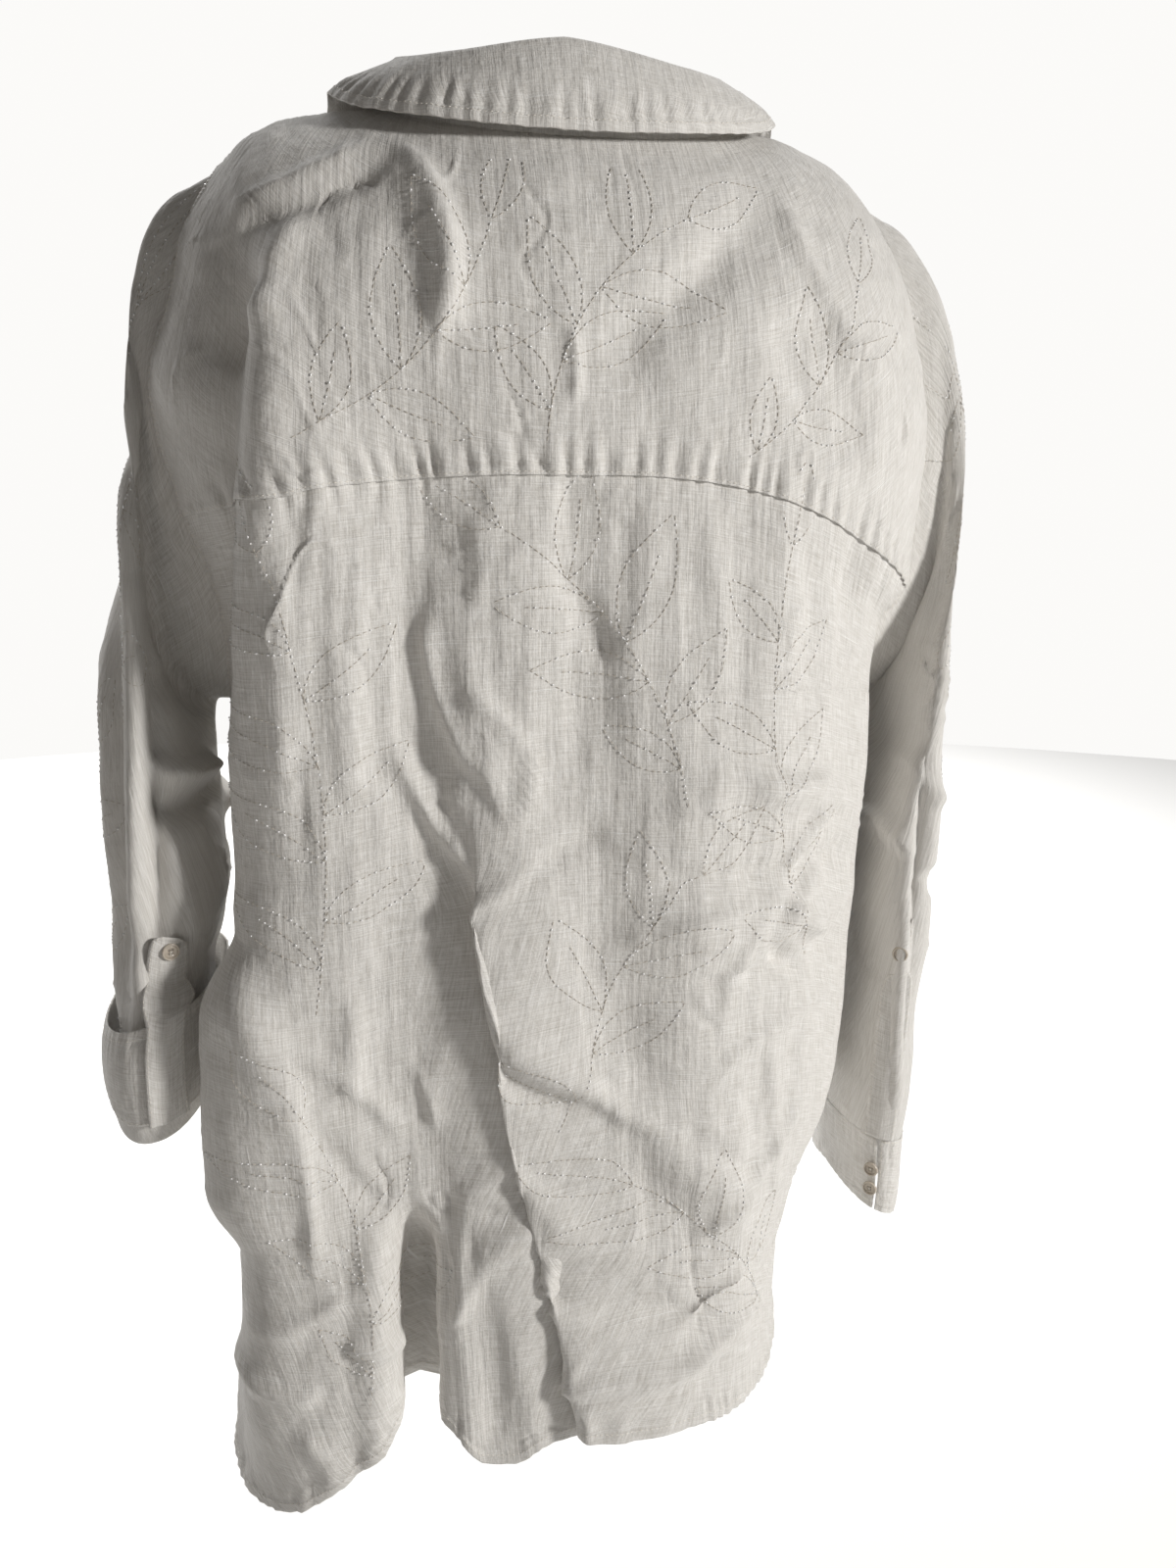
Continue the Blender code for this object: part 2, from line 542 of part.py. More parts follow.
# ---------------------------------------------------------------- sleeves
def arm_loop(side):
    """Outer and inner points round an armhole, from the shoulder round the back."""
    rings = [arm_ring(swing) for swing in ARM_SWINGS]
    reach = [ARM_BACK if swing <= 180.0 else -ARM_FRONT for swing in ARM_SWINGS]
    turns = np.array([arm_turn(*both) for both in zip(rings, reach)])
    if side < 0:
        turns = 180.0 - turns
    return body_wall(turns, np.array(rings))


def section_points(row, side):
    """Points of one sleeve section at the places of the armhole's points."""
    swing = np.radians(ARM_SWINGS)
    round_x, round_y = power(np.cos(swing), 0.92), power(np.sin(swing), 0.92)
    x = (row.outer_x + row.inner_x) / 2 + round_x * (row.outer_x - row.inner_x) / 2
    y = row.mid_y + round_y * row.half_y
    z = (row.outer_z + row.inner_z) / 2 + round_x * (row.outer_z - row.inner_z) / 2
    x = x + row.bulge * np.abs(round_y)
    z = z - row.sag * np.abs(round_y)
    return np.stack([x * side, y, z], -1)


def tube(sections, swing, side):
    """Points round each section of a sleeve, on the straight runs between its own points."""
    known = np.array(ARM_SWINGS + [360.0])
    rows = []
    for row in sections:
        points = section_points(row, side)
        points = np.concatenate([points, points[:1]])
        rows.append(np.stack([np.interp(np.mod(swing, 360.0), known, points[:, axis]) for axis in range(3)], -1))
    return np.array(rows)


def tube_normals(points, side, closed=True):
    """Outward normals of a grid of points round a sleeve."""
    if closed:
        around = np.roll(points, -1, 1) - np.roll(points, 1, 1)
    else:
        around = np.gradient(points, axis=1)
    down = np.gradient(points, axis=0)
    return unit(np.cross(around, down)) * (-side)


def sleeve(name, side, sections, turn_up=()):
    """A sleeve from its armhole down, and up again where it is turned up."""
    outer, inner = arm_loop(side)
    points = np.concatenate([outer[None], tube(list(sections) + list(turn_up), np.array(ARM_SWINGS), side)])
    walls = points - tube_normals(points, side) * WALL
    walls[0] = inner
    cloth(name, points, walls, closed=True)


def cuff(name, side, sections):
    """A cuff, open at its slit."""
    start, end = SEAM_SWING + CUFF_SLIT_HALF, SEAM_SWING + 360.0 - CUFF_SLIT_HALF
    inside = [swing for swing in ARM_SWINGS + [swing + 360.0 for swing in ARM_SWINGS] if start + 2.0 < swing < end - 2.0]
    points = tube(sections, np.array([start] + inside + [end]), side)
    walls = points - tube_normals(points, side, closed=False) * WALL
    cloth(name, points, walls)


def tube_place(sections, where, swing, side, out=0.0):
    """A point on a sleeve, moved out, and the normal there, away from the arm."""
    def at(row, angle):
        return tube([Section(*along(sections, row))], np.array([angle]), side)[0, 0]
    place = at(where, swing)
    around = at(where, swing + 1.0) - at(where, swing - 1.0)
    down = at(where + 0.05, swing) - at(where - 0.05, swing)
    normal = unit(np.cross(around, down))
    middle = (at(where, 0.0) + at(where, 180.0)) / 2
    normal = normal * np.sign(np.dot(normal, place - middle))
    return place + normal * out, normal


def strip(name, side, swing, stations, width):
    """A narrow strip along a sleeve; stations give sections, row, lift and share of the width."""
    outer, inner = [], []
    for sections, where, out, share in stations:
        near, _ = tube_place(sections, where, swing - 5.0, side)
        far, _ = tube_place(sections, where, swing + 5.0, side)
        reach = share * width / 2 / float(np.linalg.norm(far - near)) * 10.0
        places = [tube_place(sections, where, swing + step * reach, side, out) for step in (-1, 0, 1)]
        outer.append([place for place, _ in places])
        inner.append([place - normal * WALL for place, normal in places])
    cloth(name, np.array(outer), np.array(inner))


# ---------------------------------------------------------------- collar
def collar_frame(turns):
    """Neck seam points, their inner points, outward directions and the collar's table rows."""
    base, inner = body_wall(turns, np.zeros_like(turns))
    mirrored = np.where(turns > 90.0, 180.0 - turns, turns)
    spots = np.interp(mirrored, [row.turn for row in COLLAR], range(len(COLLAR)))
    ahead = level(turns + 1.0, np.zeros_like(turns)) - level(turns - 1.0, np.zeros_like(turns))
    out = unit(np.stack([ahead[:, 1], -ahead[:, 0], np.zeros_like(turns)], -1))
    return base, inner, out, along(COLLAR, spots)


def neck_turns():
    """Turns round the neck at the columns of the bands, fronts and yoke."""
    band = [front_turn(band_offset(0.0) + step * BAND_WIDTH / 2, 0.0) for step in (-1, 0)]
    front = list(front_columns(0.0, 1)[::-1])
    left = band + front
    seam = back_columns(YOKE_SEAM)
    share = (seam - seam[0]) / (seam[-1] - seam[0])
    yoke = list(back_end(0.0) + (180.0 - 2.0 * back_end(0.0)) * share)
    right = [180.0 - turn for turn in left[::-1]]
    return np.array(left + yoke[1:-1] + right)


def stand_points(turns):
    """Outer and inner points of the collar stand, from the neck seam up."""
    base, inner, out, rows = collar_frame(turns)
    height, lean = rows[:, 1:2], rows[:, 2:3]
    points, walls = [base], [inner]
    for part in (0.5, 1.0):
        point = base + out * lean * part
        point[:, 2:3] += height * part
        points.append(point)
        walls.append(point - out * WALL)
    return np.array(points), np.array(walls)


def collar_stand():
    """The band that stands round the neck."""
    cloth("collar_stand", *stand_points(neck_turns()))


def collar_fall():
    """The turned-down collar, from the stand's top over to its outer edge."""
    turns = neck_turns()[1:-1]
    _, _, out, rows = collar_frame(turns)
    points, walls = stand_points(turns)
    top, top_inner = points[-1], walls[-1]
    up = np.array([0.0, 0.0, 1.0])
    edge = torso(turns, rows[:, 3]) + up * rows[:, 4:5] + out * rows[:, 5:6]
    roll = top + out * 0.0045 + up * 0.0010
    grid = [top_inner + up * SEAM, top + out * 0.0006 + up * 0.0035, roll]
    for part in (0.45, 1.0):
        belly = 0.004 * math.sin(part * math.pi)
        grid.append(roll + (edge - roll) * part + out * belly)
    grid = np.array(grid)
    normals = -unit(np.cross(np.gradient(grid, axis=1), np.gradient(grid, axis=0)))
    wall = grid - normals * WALL
    wall[0] = top + up * SEAM
    cloth("collar_fall", grid, wall)


# ---------------------------------------------------------------- buttons
def button(name, place, normal, gap=LIFT):
    """A shirt button with a raised rim, lying on the cloth."""
    bm = bmesh.new()
    bmesh.ops.create_cone(bm, cap_ends=True, segments=14, radius1=BUTTON_RADIUS,
                          radius2=BUTTON_RADIUS * 0.96, depth=BUTTON_HEIGHT)
    top = [face for face in bm.faces if face.normal.z > 0.9]
    bmesh.ops.inset_region(bm, faces=top, thickness=0.0012, depth=-0.0006)
    turn = Vector(normal).to_track_quat("Z", "Y").to_matrix().to_4x4()
    middle = Vector(place) + Vector(normal) * (BUTTON_HEIGHT / 2 + gap)
    bmesh.ops.transform(bm, matrix=turn, verts=bm.verts[:])
    bmesh.ops.translate(bm, vec=middle, verts=bm.verts[:])
    add_object(name, bm, SHELL_BUTTON, 0.3)


def front_buttons():
    """Buttons down the front band, and one on the collar stand."""
    heights = [-row.front_z for row in RINGS]
    first = float(along(RINGS, FIRST_BUTTON)[7])
    for count in range(BUTTON_COUNT):
        ring = float(np.interp(BUTTON_PITCH * count - first, heights, range(len(RINGS))))
        outer, _ = body_wall(np.array([-90.0]), np.array([ring]), WALL + LIFT)
        button(f"button_front_{count + 1}", outer[0], torso_normal(np.array([-90.0]), np.array([ring]))[0])
    turns = np.array([front_turn(NECK_OPEN - BAND_WIDTH / 4, 0.0)])
    points, _ = stand_points(turns)
    _, _, out, _ = collar_frame(turns)
    button("button_collar", points[1, 0], out[0], 2 * LIFT)


def sleeve_buttons():
    """Two buttons on each cuff and one for each roll tab."""
    for name, sections, side, where, swing, out, facing in SLEEVE_BUTTONS:
        place, normal = tube_place(sections, where, swing, side, out)
        button(name, place, normal * facing)


# The left cuff is turned inside out, so its buttons face the sleeve (-1).
SLEEVE_BUTTONS = [
    ("button_tab_left", SLEEVE_LEFT, 1, 8.25, SEAM_SWING, WALL + LIFT, 1),
    ("button_tab_right", SLEEVE_RIGHT, -1, 8.6, SEAM_SWING, 0.0, 1),
    ("button_cuff_right_1", CUFF_RIGHT, -1, 1.2, 112.0, 0.0, 1),
    ("button_cuff_right_2", CUFF_RIGHT, -1, 2.0, 112.0, 0.0, 1),
    ("button_cuff_left_1", CUFF_LEFT, 1, 1.2, 70.0, 0.0, -1),
    ("button_cuff_left_2", CUFF_LEFT, 1, 2.2, 70.0, 0.0, -1),
]

TAB_LEFT = [
    (SLEEVE_LEFT, 7.95, WALL + LIFT, 0.45),
    (SLEEVE_LEFT, 8.10, WALL + LIFT, 0.90),
    (SLEEVE_LEFT, 8.50, WALL + LIFT, 1.0),
    (SLEEVE_LEFT, 8.95, WALL + LIFT, 1.0),
    (SLEEVE_LEFT, 9.35, 0.009, 1.0),
    (CUFF_LEFT, 3.00, 2 * WALL + 2 * LIFT, 1.0),
    (CUFF_LEFT, 2.00, 2 * WALL + LIFT, 1.0),
    (CUFF_LEFT, 1.00, 2 * WALL + LIFT, 1.0),
    (CUFF_LEFT, 0.00, 2 * WALL + LIFT, 1.0),
]
TAB_RIGHT = [
    (SLEEVE_RIGHT, 8.2, -WALL - LIFT, 1.0),
    (SLEEVE_RIGHT, 9.0, -WALL - LIFT, 1.0),
    (SLEEVE_RIGHT, 10.0, -WALL - LIFT, 1.0),
    (SLEEVE_RIGHT, 10.3, -WALL - LIFT, 0.9),
    (SLEEVE_RIGHT, 10.5, -WALL - LIFT, 0.45),
]
PLACKET_RIGHT = [
    (SLEEVE_RIGHT, 8.9, WALL + LIFT, 0.3),
    (SLEEVE_RIGHT, 9.1, WALL + LIFT, 1.0),
    (SLEEVE_RIGHT, 10.0, WALL + LIFT, 1.0),
    (SLEEVE_RIGHT, 11.0, WALL + LIFT, 1.0),
    (SLEEVE_RIGHT, 11.95, WALL + LIFT, 1.0),
]
PLACKET_LEFT = [
    (SLEEVE_LEFT, 10.0, WALL + LIFT, 0.3),
    (SLEEVE_LEFT, 10.2, WALL + LIFT, 1.0),
    (SLEEVE_LEFT, 11.0, WALL + LIFT, 1.0),
    (SLEEVE_LEFT, 11.5, WALL + LIFT, 1.0),
]


def main():
    """Clear the scene and build every piece."""
    for old in list(bpy.data.objects):
        bpy.data.objects.remove(old)
    back_yoke()
    back_panel()
    front_panel("front_left", 1)
    front_panel("front_right", -1)
    front_band("button_band", 1, 0.0)
    front_band("buttonhole_band", -1, WALL + LIFT)
    collar_stand()
    collar_fall()
    sleeve("sleeve_left", 1, SLEEVE_LEFT, TURN_LEFT)
    sleeve("sleeve_right", -1, SLEEVE_RIGHT)
    cuff("cuff_left", 1, CUFF_LEFT)
    cuff("cuff_right", -1, CUFF_RIGHT)
    strip("placket_left", 1, SEAM_SWING, PLACKET_LEFT, PLACKET_WIDTH)
    strip("placket_right", -1, SEAM_SWING, PLACKET_RIGHT, PLACKET_WIDTH)
    strip("tab_left", 1, SEAM_SWING, TAB_LEFT, TAB_WIDTH)
    strip("tab_right", -1, SEAM_SWING, TAB_RIGHT, TAB_WIDTH)
    front_buttons()
    sleeve_buttons()


main()
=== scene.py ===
"""The looks of a long-sleeved white linen blouse, filled out as if worn.

Everything is in metres in the part's frame: the origin is the nape, the front
faces -Y, the wearer's left is +X. The cloth pieces are fine sheets on the same
surface as the part's solids, with their small creases, seams and stitching.
"""

import math
import random
from collections import namedtuple

import bmesh
import bpy
import numpy as np
from mathutils import Matrix, Vector, noise


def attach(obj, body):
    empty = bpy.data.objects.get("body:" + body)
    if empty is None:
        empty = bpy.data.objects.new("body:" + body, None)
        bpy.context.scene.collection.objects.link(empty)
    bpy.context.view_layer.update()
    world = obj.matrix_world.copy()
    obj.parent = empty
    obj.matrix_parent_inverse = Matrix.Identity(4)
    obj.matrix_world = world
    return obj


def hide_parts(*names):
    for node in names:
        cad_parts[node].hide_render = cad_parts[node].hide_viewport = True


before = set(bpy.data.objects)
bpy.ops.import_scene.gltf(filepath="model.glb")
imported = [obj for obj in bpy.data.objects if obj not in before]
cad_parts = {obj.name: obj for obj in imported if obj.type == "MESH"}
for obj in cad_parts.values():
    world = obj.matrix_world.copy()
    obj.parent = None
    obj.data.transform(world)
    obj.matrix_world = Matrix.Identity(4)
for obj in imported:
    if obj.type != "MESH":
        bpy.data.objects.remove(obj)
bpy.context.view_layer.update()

# ---------------------------------------------------------------- sizes
CLOTH = 0.0007           # thickness of the linen
FOLDED = 0.0006          # a turned-in seam allowance or hem adds this much
WALL = 0.0012            # wall of the part's solids, used for what lies on what
LIFT = 0.0006            # from a panel to a piece that lies on it
LAID = WALL + LIFT       # from a panel's form to that of a piece laid on it

YOKE_SEAM = 7.0          # ring of the seam between yoke and back
ARM_TOP = 3.0            # ring of the shoulder point
ARM_PIT = 9.4            # ring of the underarm
ARM_TILT = -8.0          # turn of the shoulder point, a little to the front
ARM_BACK = 17.0          # how far the armhole opens to the back, degrees
ARM_FRONT = 24.0         # and to the front
NECK_SEAM_TURN = -32.0   # where the shoulder seam leaves the neck
SLIT_TOP = 14.2          # ring where the side slits start
SIDE_END = 14.0          # last ring before the hems' own rings
FRONT_HEM = 16.0         # ring of the front hem at its middle
HEM_RING = 17.0          # ring at the back hem's middle

BAND_WIDTH = 0.030       # front bands
NECK_OPEN = 0.040        # half the opening of the fronts at the neck
FIRST_BUTTON = 4.0       # ring of the highest fastened button
BUTTON_COUNT = 6
BUTTON_PITCH = 0.083
YOKE_LAP = 0.04          # the yoke covers the back below its seam, in rings
YOKE_LIFT = CLOTH + 0.0002               # and lies this far out from it
YOKE_WAVE = 0.0125       # one pucker along the yoke seam, and along the collar's edge
EDGE_WAVE = 0.0075       # one small wave along any other sewn edge
TROUGH_REACH = 6.5       # degrees of close columns either side of the deep fold
CREASE_SHARE = 0.70      # share of the crease's width with close columns
CREASE_CLEAR = 2.0       # least degrees between the two
TAB_WIDTH = 0.021
PLACKET_WIDTH = 0.018
CRUMPLE = 0.0019         # depth of the small creases of the single cloth

# How fine each sheet's grid is.
YOKE_ROWS, YOKE_COLUMNS = 98, 290
BACK_ROWS, BACK_HEM_ROWS = 142, 88
BACK_STEPS = (36, 22, 8, 50, 78)         # columns between its ends, the fold and the crease
FRONT_ROWS, FRONT_HEM_ROWS, FRONT_COLUMNS = 150, 40, 78
BAND_HEM_ROWS, BAND_COLUMNS = 36, 13
SLEEVE_ROWS, SLEEVE_COLUMNS = 170, 161
CUFF_ROWS, CUFF_COLUMNS = 38, 166
STRIP_ROWS, STRIP_COLUMNS = 70, 15
STAND_ROWS, FALL_ROWS, COLLAR_COLUMNS = 15, 30, 290

BUTTON_RADIUS = 0.0054
BUTTON_HEIGHT = 0.0024
PLATE_SHARE = 0.62       # how high the pierced plate is, as a share of the rim
RIM_WIDTH = 0.62         # how wide the rim is, as a share of its height
RIM_IN = 0.0009          # from the button's edge to where its plate ends
HOLE_OUT = 0.0014        # from the button's middle to each of its four holes
HOLE_RADIUS = 0.00062
BUTTONHOLE_HALF = 0.0075
BAR_ASIDE = 0.0011       # from the slit to the middle of the bars of thread
BARS = 22                # bars of thread down each side of a buttonhole
BAR_LONG = 0.0020
BAR_THREAD = 0.00055

HEM = 0.0075             # width of a turned hem
SEAM = 0.0070            # width of a turned seam allowance
HEM_STITCH = 0.0068      # from an edge to the row of stitches that holds its hem
SEAM_STITCHES = (0.0012, 0.0070)         # the two rows along an armhole
EDGE_STITCH = 0.0018     # a row close to an edge
COLLAR_STITCH = 0.0055
STITCH_PITCH = 0.0033    # topstitching: one stitch and its gap
STITCH_LONG = 0.0023
THREAD = 0.00048         # thickness of a sewing thread
EMBROIDERY_PITCH = 0.0037
EMBROIDERY_LONG = 0.0031
ON_CLOTH = 0.0003        # how far its stitches stand off the cloth
ARM_SPRAY_SWING = 95.0   # place round a sleeve of its sprays' x = 0
ARM_RADIUS = 0.060       # turns their x into a place round the sleeve
BRIGHT_SHARE = 0.36      # share of the embroidery's stitches in bright thread
BRIGHT_THREAD = 0.0012   # its thickness

# One row for each level of the body, from the neck seam to the back hem:
# half width to the left and right, then how far back or forward, and how high,
# the left side, back and front lie, how square the level is (2 is an ellipse),
# how much lower the right side lies, and how late the level drops to its sides.
Ring = namedtuple("Ring", "left right side_y side_z back_y back_z front_y front_z square skew hang")
RINGS = [
    Ring(0.091, 0.104, -0.062, 0.027, 0.000, 0.000, -0.125, -0.085, 2.1, 0.000, 1.0),
    Ring(0.127, 0.138, -0.070, 0.026, 0.019, -0.026, -0.150, -0.100, 2.2, 0.000, 1.0),
    Ring(0.157, 0.164, -0.077, 0.021, 0.032, -0.056, -0.168, -0.122, 2.4, 0.000, 1.0),
    Ring(0.182, 0.189, -0.082, 0.006, 0.039, -0.084, -0.180, -0.146, 2.6, 0.000, 1.0),
    Ring(0.207, 0.214, -0.085, -0.028, 0.043, -0.110, -0.188, -0.172, 2.7, 0.000, 1.0),
    Ring(0.222, 0.230, -0.086, -0.080, 0.045, -0.134, -0.194, -0.198, 2.7, 0.004, 1.2),
    Ring(0.235, 0.239, -0.086, -0.130, 0.046, -0.156, -0.198, -0.225, 2.7, 0.020, 1.8),
    Ring(0.222, 0.230, -0.086, -0.198, 0.046, -0.177, -0.200, -0.252, 2.7, 0.044, 2.5),
    Ring(0.207, 0.214, -0.086, -0.240, 0.045, -0.215, -0.201, -0.285, 2.7, 0.028, 2.0),
    Ring(0.202, 0.210, -0.086, -0.288, 0.044, -0.272, -0.201, -0.322, 2.7, 0.008, 1.4),
    Ring(0.200, 0.211, -0.086, -0.345, 0.042, -0.335, -0.200, -0.370, 2.7, 0.000, 1.0),
    Ring(0.194, 0.209, -0.086, -0.405, 0.040, -0.400, -0.199, -0.425, 2.7, 0.000, 1.0),
    Ring(0.203, 0.205, -0.086, -0.465, 0.038, -0.462, -0.198, -0.480, 2.7, 0.000, 1.0),
    Ring(0.209, 0.202, -0.086, -0.525, 0.037, -0.525, -0.197, -0.535, 2.7, 0.000, 1.0),
    Ring(0.211, 0.196, -0.086, -0.585, 0.036, -0.588, -0.197, -0.590, 2.7, 0.000, 1.0),
    Ring(0.212, 0.172, -0.086, -0.645, 0.036, -0.650, -0.197, -0.645, 2.7, 0.000, 1.0),
    Ring(0.215, 0.156, -0.084, -0.705, 0.036, -0.712, -0.197, -0.700, 2.7, 0.000, 1.0),
    Ring(0.222, 0.158, -0.080, -0.765, 0.036, -0.774, -0.197, -0.755, 2.7, 0.000, 1.0),
    Ring(0.230, 0.160, -0.080, -0.835, 0.036, -0.846, -0.197, -0.810, 2.7, 0.000, 1.0),
]

# The long crease down the back: the cloth to the wearer's right lies over the
# cloth to the left. x and z of its edge, how far it laps over, how high it stands.
Crease = namedtuple("Crease", "z x lap rise")
CREASE = [
    Crease(-0.270, 0.112, 0.000, 0.000),
    Crease(-0.312, 0.105, 0.000, 0.003),
    Crease(-0.392, 0.070, 0.002, 0.006),
    Crease(-0.439, 0.064, 0.006, 0.008),
    Crease(-0.506, 0.054, 0.012, 0.009),
    Crease(-0.577, 0.043, 0.020, 0.010),
    Crease(-0.648, 0.026, 0.030, 0.010),
    Crease(-0.705, 0.014, 0.038, 0.010),
    Crease(-0.764, 0.002, 0.044, 0.010),
    Crease(-0.850, -0.010, 0.044, 0.010),
]
CREASE_HALF = 0.050      # half the width of cloth that the crease takes up
TROUGH_X = 0.103         # where the deep fold under the back's left half runs
LAP_SLOPE = 0.2634       # v * (1 - v * v) ** 2 at v = 1/3, where the crease turns

# Soft folds of the back, from one end to the other, in x and z: how far the
# middle bows aside, how far it stands out (or sinks in), and its half width.
Fold = namedtuple("Fold", "x1 z1 x2 z2 bow depth width")
BACK_FOLDS = [
    Fold(0.152, -0.060, 0.172, -0.420, -0.006, 0.010, 0.016),
    Fold(0.172, -0.400, 0.196, -0.790, 0.004, 0.012, 0.017),
    Fold(0.180, -0.060, 0.196, -0.330, 0.004, -0.012, 0.014),
    Fold(0.190, -0.460, 0.200, -0.630, 0.000, 0.024, 0.022),
    Fold(0.135, -0.160, 0.146, -0.600, 0.000, 0.004, 0.022),
    Fold(0.088, -0.160, 0.092, -0.470, 0.004, -0.008, 0.022),
    Fold(0.080, -0.225, 0.040, -0.350, -0.008, 0.005, 0.012),
    Fold(0.105, -0.620, 0.101, -0.800, 0.000, -0.024, 0.010),
    Fold(0.125, -0.620, 0.130, -0.800, 0.000, 0.006, 0.010),
    Fold(0.078, -0.640, 0.072, -0.800, 0.000, 0.007, 0.012),
    Fold(0.054, -0.476, -0.113, -0.642, 0.006, 0.006, 0.018),
    Fold(-0.002, -0.646, -0.059, -0.702, 0.004, -0.005, 0.012),
    Fold(-0.059, -0.702, -0.116, -0.671, 0.004, -0.005, 0.012),
    Fold(0.001, -0.180, 0.001, -0.330, 0.003, -0.005, 0.016),
    Fold(-0.110, -0.033, -0.004, -0.125, 0.004, -0.005, 0.018),
    Fold(0.100, -0.007, 0.075, -0.110, 0.014, 0.005, 0.012),
    Fold(-0.129, -0.090, -0.160, -0.165, 0.004, -0.005, 0.016),
    Fold(-0.060, -0.350, -0.190, -0.375, 0.004, 0.005, 0.011),
    Fold(-0.040, -0.408, -0.190, -0.410, 0.004, -0.005, 0.010),
    Fold(-0.060, -0.440, -0.190, -0.440, -0.003, 0.005, 0.010),
    Fold(-0.028, -0.475, -0.185, -0.468, 0.003, -0.004, 0.011),
    Fold(-0.110, -0.180, -0.118, -0.420, 0.003, 0.004, 0.020),
    Fold(-0.165, -0.200, -0.172, -0.560, 0.002, -0.005, 0.015),
    Fold(-0.090, -0.560, -0.100, -0.790, 0.003, 0.005, 0.018),
]
FRONT_FOLDS = [
    Fold(0.070, -0.130, 0.110, -0.560, 0.008, 0.006, 0.022),
    Fold(0.130, -0.200, 0.145, -0.620, 0.004, -0.007, 0.020),
    Fold(-0.085, -0.140, -0.100, -0.600, -0.006, 0.006, 0.024),
    Fold(-0.140, -0.210, -0.130, -0.680, 0.004, -0.007, 0.018),
]

# The back hem: how high it hangs at each place across the cloth.
Hem = namedtuple("Hem", "x z")
BACK_HEM = [
    Hem(-0.160, -0.742), Hem(-0.152, -0.770), Hem(-0.130, -0.781), Hem(-0.060, -0.774),
    Hem(-0.016, -0.767), Hem(0.020, -0.776), Hem(0.040, -0.792), Hem(0.062, -0.792),
    Hem(0.090, -0.764), Hem(0.108, -0.750), Hem(0.124, -0.778), Hem(0.170, -0.820),
    Hem(0.196, -0.833), Hem(0.212, -0.836), Hem(0.224, -0.826),
]

# Sleeve sections from the armhole down: the outer and the underarm side in x
# and z, then the middle and half depth, and how far the back and the front of
# the section bulge away from the body and sag.
Section = namedtuple("Section", "outer_x outer_z inner_x inner_z mid_y half_y bulge sag")
SLEEVE_LEFT = [
    Section(0.206, -0.013, 0.212, -0.312, -0.096, 0.052, 0.032, 0.000),
    Section(0.224, -0.045, 0.214, -0.322, -0.095, 0.056, 0.024, 0.000),
    Section(0.228, -0.098, 0.214, -0.334, -0.094, 0.060, 0.019, 0.000),
    Section(0.241, -0.155, 0.214, -0.348, -0.093, 0.065, 0.014, 0.000),
    Section(0.259, -0.215, 0.213, -0.366, -0.092, 0.069, 0.009, 0.000),
    Section(0.273, -0.275, 0.212, -0.386, -0.091, 0.072, 0.004, 0.000),
    Section(0.280, -0.335, 0.212, -0.408, -0.090, 0.073, 0.000, 0.000),
    Section(0.282, -0.385, 0.212, -0.430, -0.089, 0.072, 0.000, 0.000),
    Section(0.280, -0.430, 0.217, -0.453, -0.088, 0.071, 0.000, 0.000),
    Section(0.279, -0.468, 0.224, -0.474, -0.087, 0.070, 0.000, 0.000),
    Section(0.281, -0.500, 0.226, -0.498, -0.086, 0.071, 0.000, 0.002),
    Section(0.284, -0.532, 0.227, -0.524, -0.086, 0.073, 0.000, 0.008),
    Section(0.282, -0.560, 0.230, -0.550, -0.086, 0.072, 0.000, 0.014),
]
# The turn-up of the left sleeve, from its fold upwards.
TURN_LEFT = [
    Section(0.2840, -0.5622, 0.2280, -0.5522, -0.086, 0.0740, 0.000, 0.014),
    Section(0.287, -0.560, 0.225, -0.550, -0.086, 0.077, 0.000, 0.014),
    Section(0.289, -0.550, 0.222, -0.541, -0.086, 0.081, 0.000, 0.011),
]
CUFF_LEFT = [
    Section(0.289, -0.550, 0.222, -0.541, -0.086, 0.081, 0.000, 0.011),
    Section(0.292, -0.538, 0.220, -0.524, -0.086, 0.083, 0.000, 0.008),
    Section(0.292, -0.522, 0.219, -0.502, -0.086, 0.083, 0.000, 0.002),
    Section(0.288, -0.506, 0.218, -0.482, -0.086, 0.081, 0.000, 0.000),
]
SLEEVE_RIGHT = [
    Section(0.213, -0.011, 0.220, -0.312, -0.096, 0.052, 0.033, 0.000),
    Section(0.238, -0.040, 0.222, -0.322, -0.095, 0.056, 0.024, 0.000),
    Section(0.253, -0.084, 0.222, -0.334, -0.094, 0.060, 0.019, 0.000),
    Section(0.256, -0.134, 0.222, -0.348, -0.093, 0.064, 0.015, 0.000),
    Section(0.255, -0.192, 0.221, -0.366, -0.092, 0.067, 0.011, 0.000),
    Section(0.255, -0.247, 0.220, -0.388, -0.091, 0.069, 0.007, 0.000),
    Section(0.256, -0.310, 0.219, -0.415, -0.091, 0.070, 0.002, 0.000),
    Section(0.262, -0.370, 0.218, -0.445, -0.092, 0.070, 0.000, 0.000),
    Section(0.260, -0.430, 0.217, -0.480, -0.093, 0.070, 0.000, 0.000),
    Section(0.260, -0.490, 0.216, -0.515, -0.094, 0.069, 0.000, 0.000),
    Section(0.263, -0.550, 0.213, -0.556, -0.096, 0.067, 0.000, 0.000),
    Section(0.265, -0.600, 0.212, -0.594, -0.098, 0.064, 0.000, 0.000),
    Section(0.263, -0.642, 0.214, -0.630, -0.100, 0.059, 0.000, 0.000),
]
CUFF_RIGHT = [
    Section(0.263, -0.642, 0.214, -0.630, -0.100, 0.059, 0.000, 0.000),
    Section(0.264, -0.664, 0.215, -0.650, -0.101, 0.058, 0.000, 0.002),
    Section(0.264, -0.684, 0.216, -0.668, -0.102, 0.057, 0.000, 0.004),
    Section(0.262, -0.700, 0.217, -0.682, -0.103, 0.056, 0.000, 0.006),
]
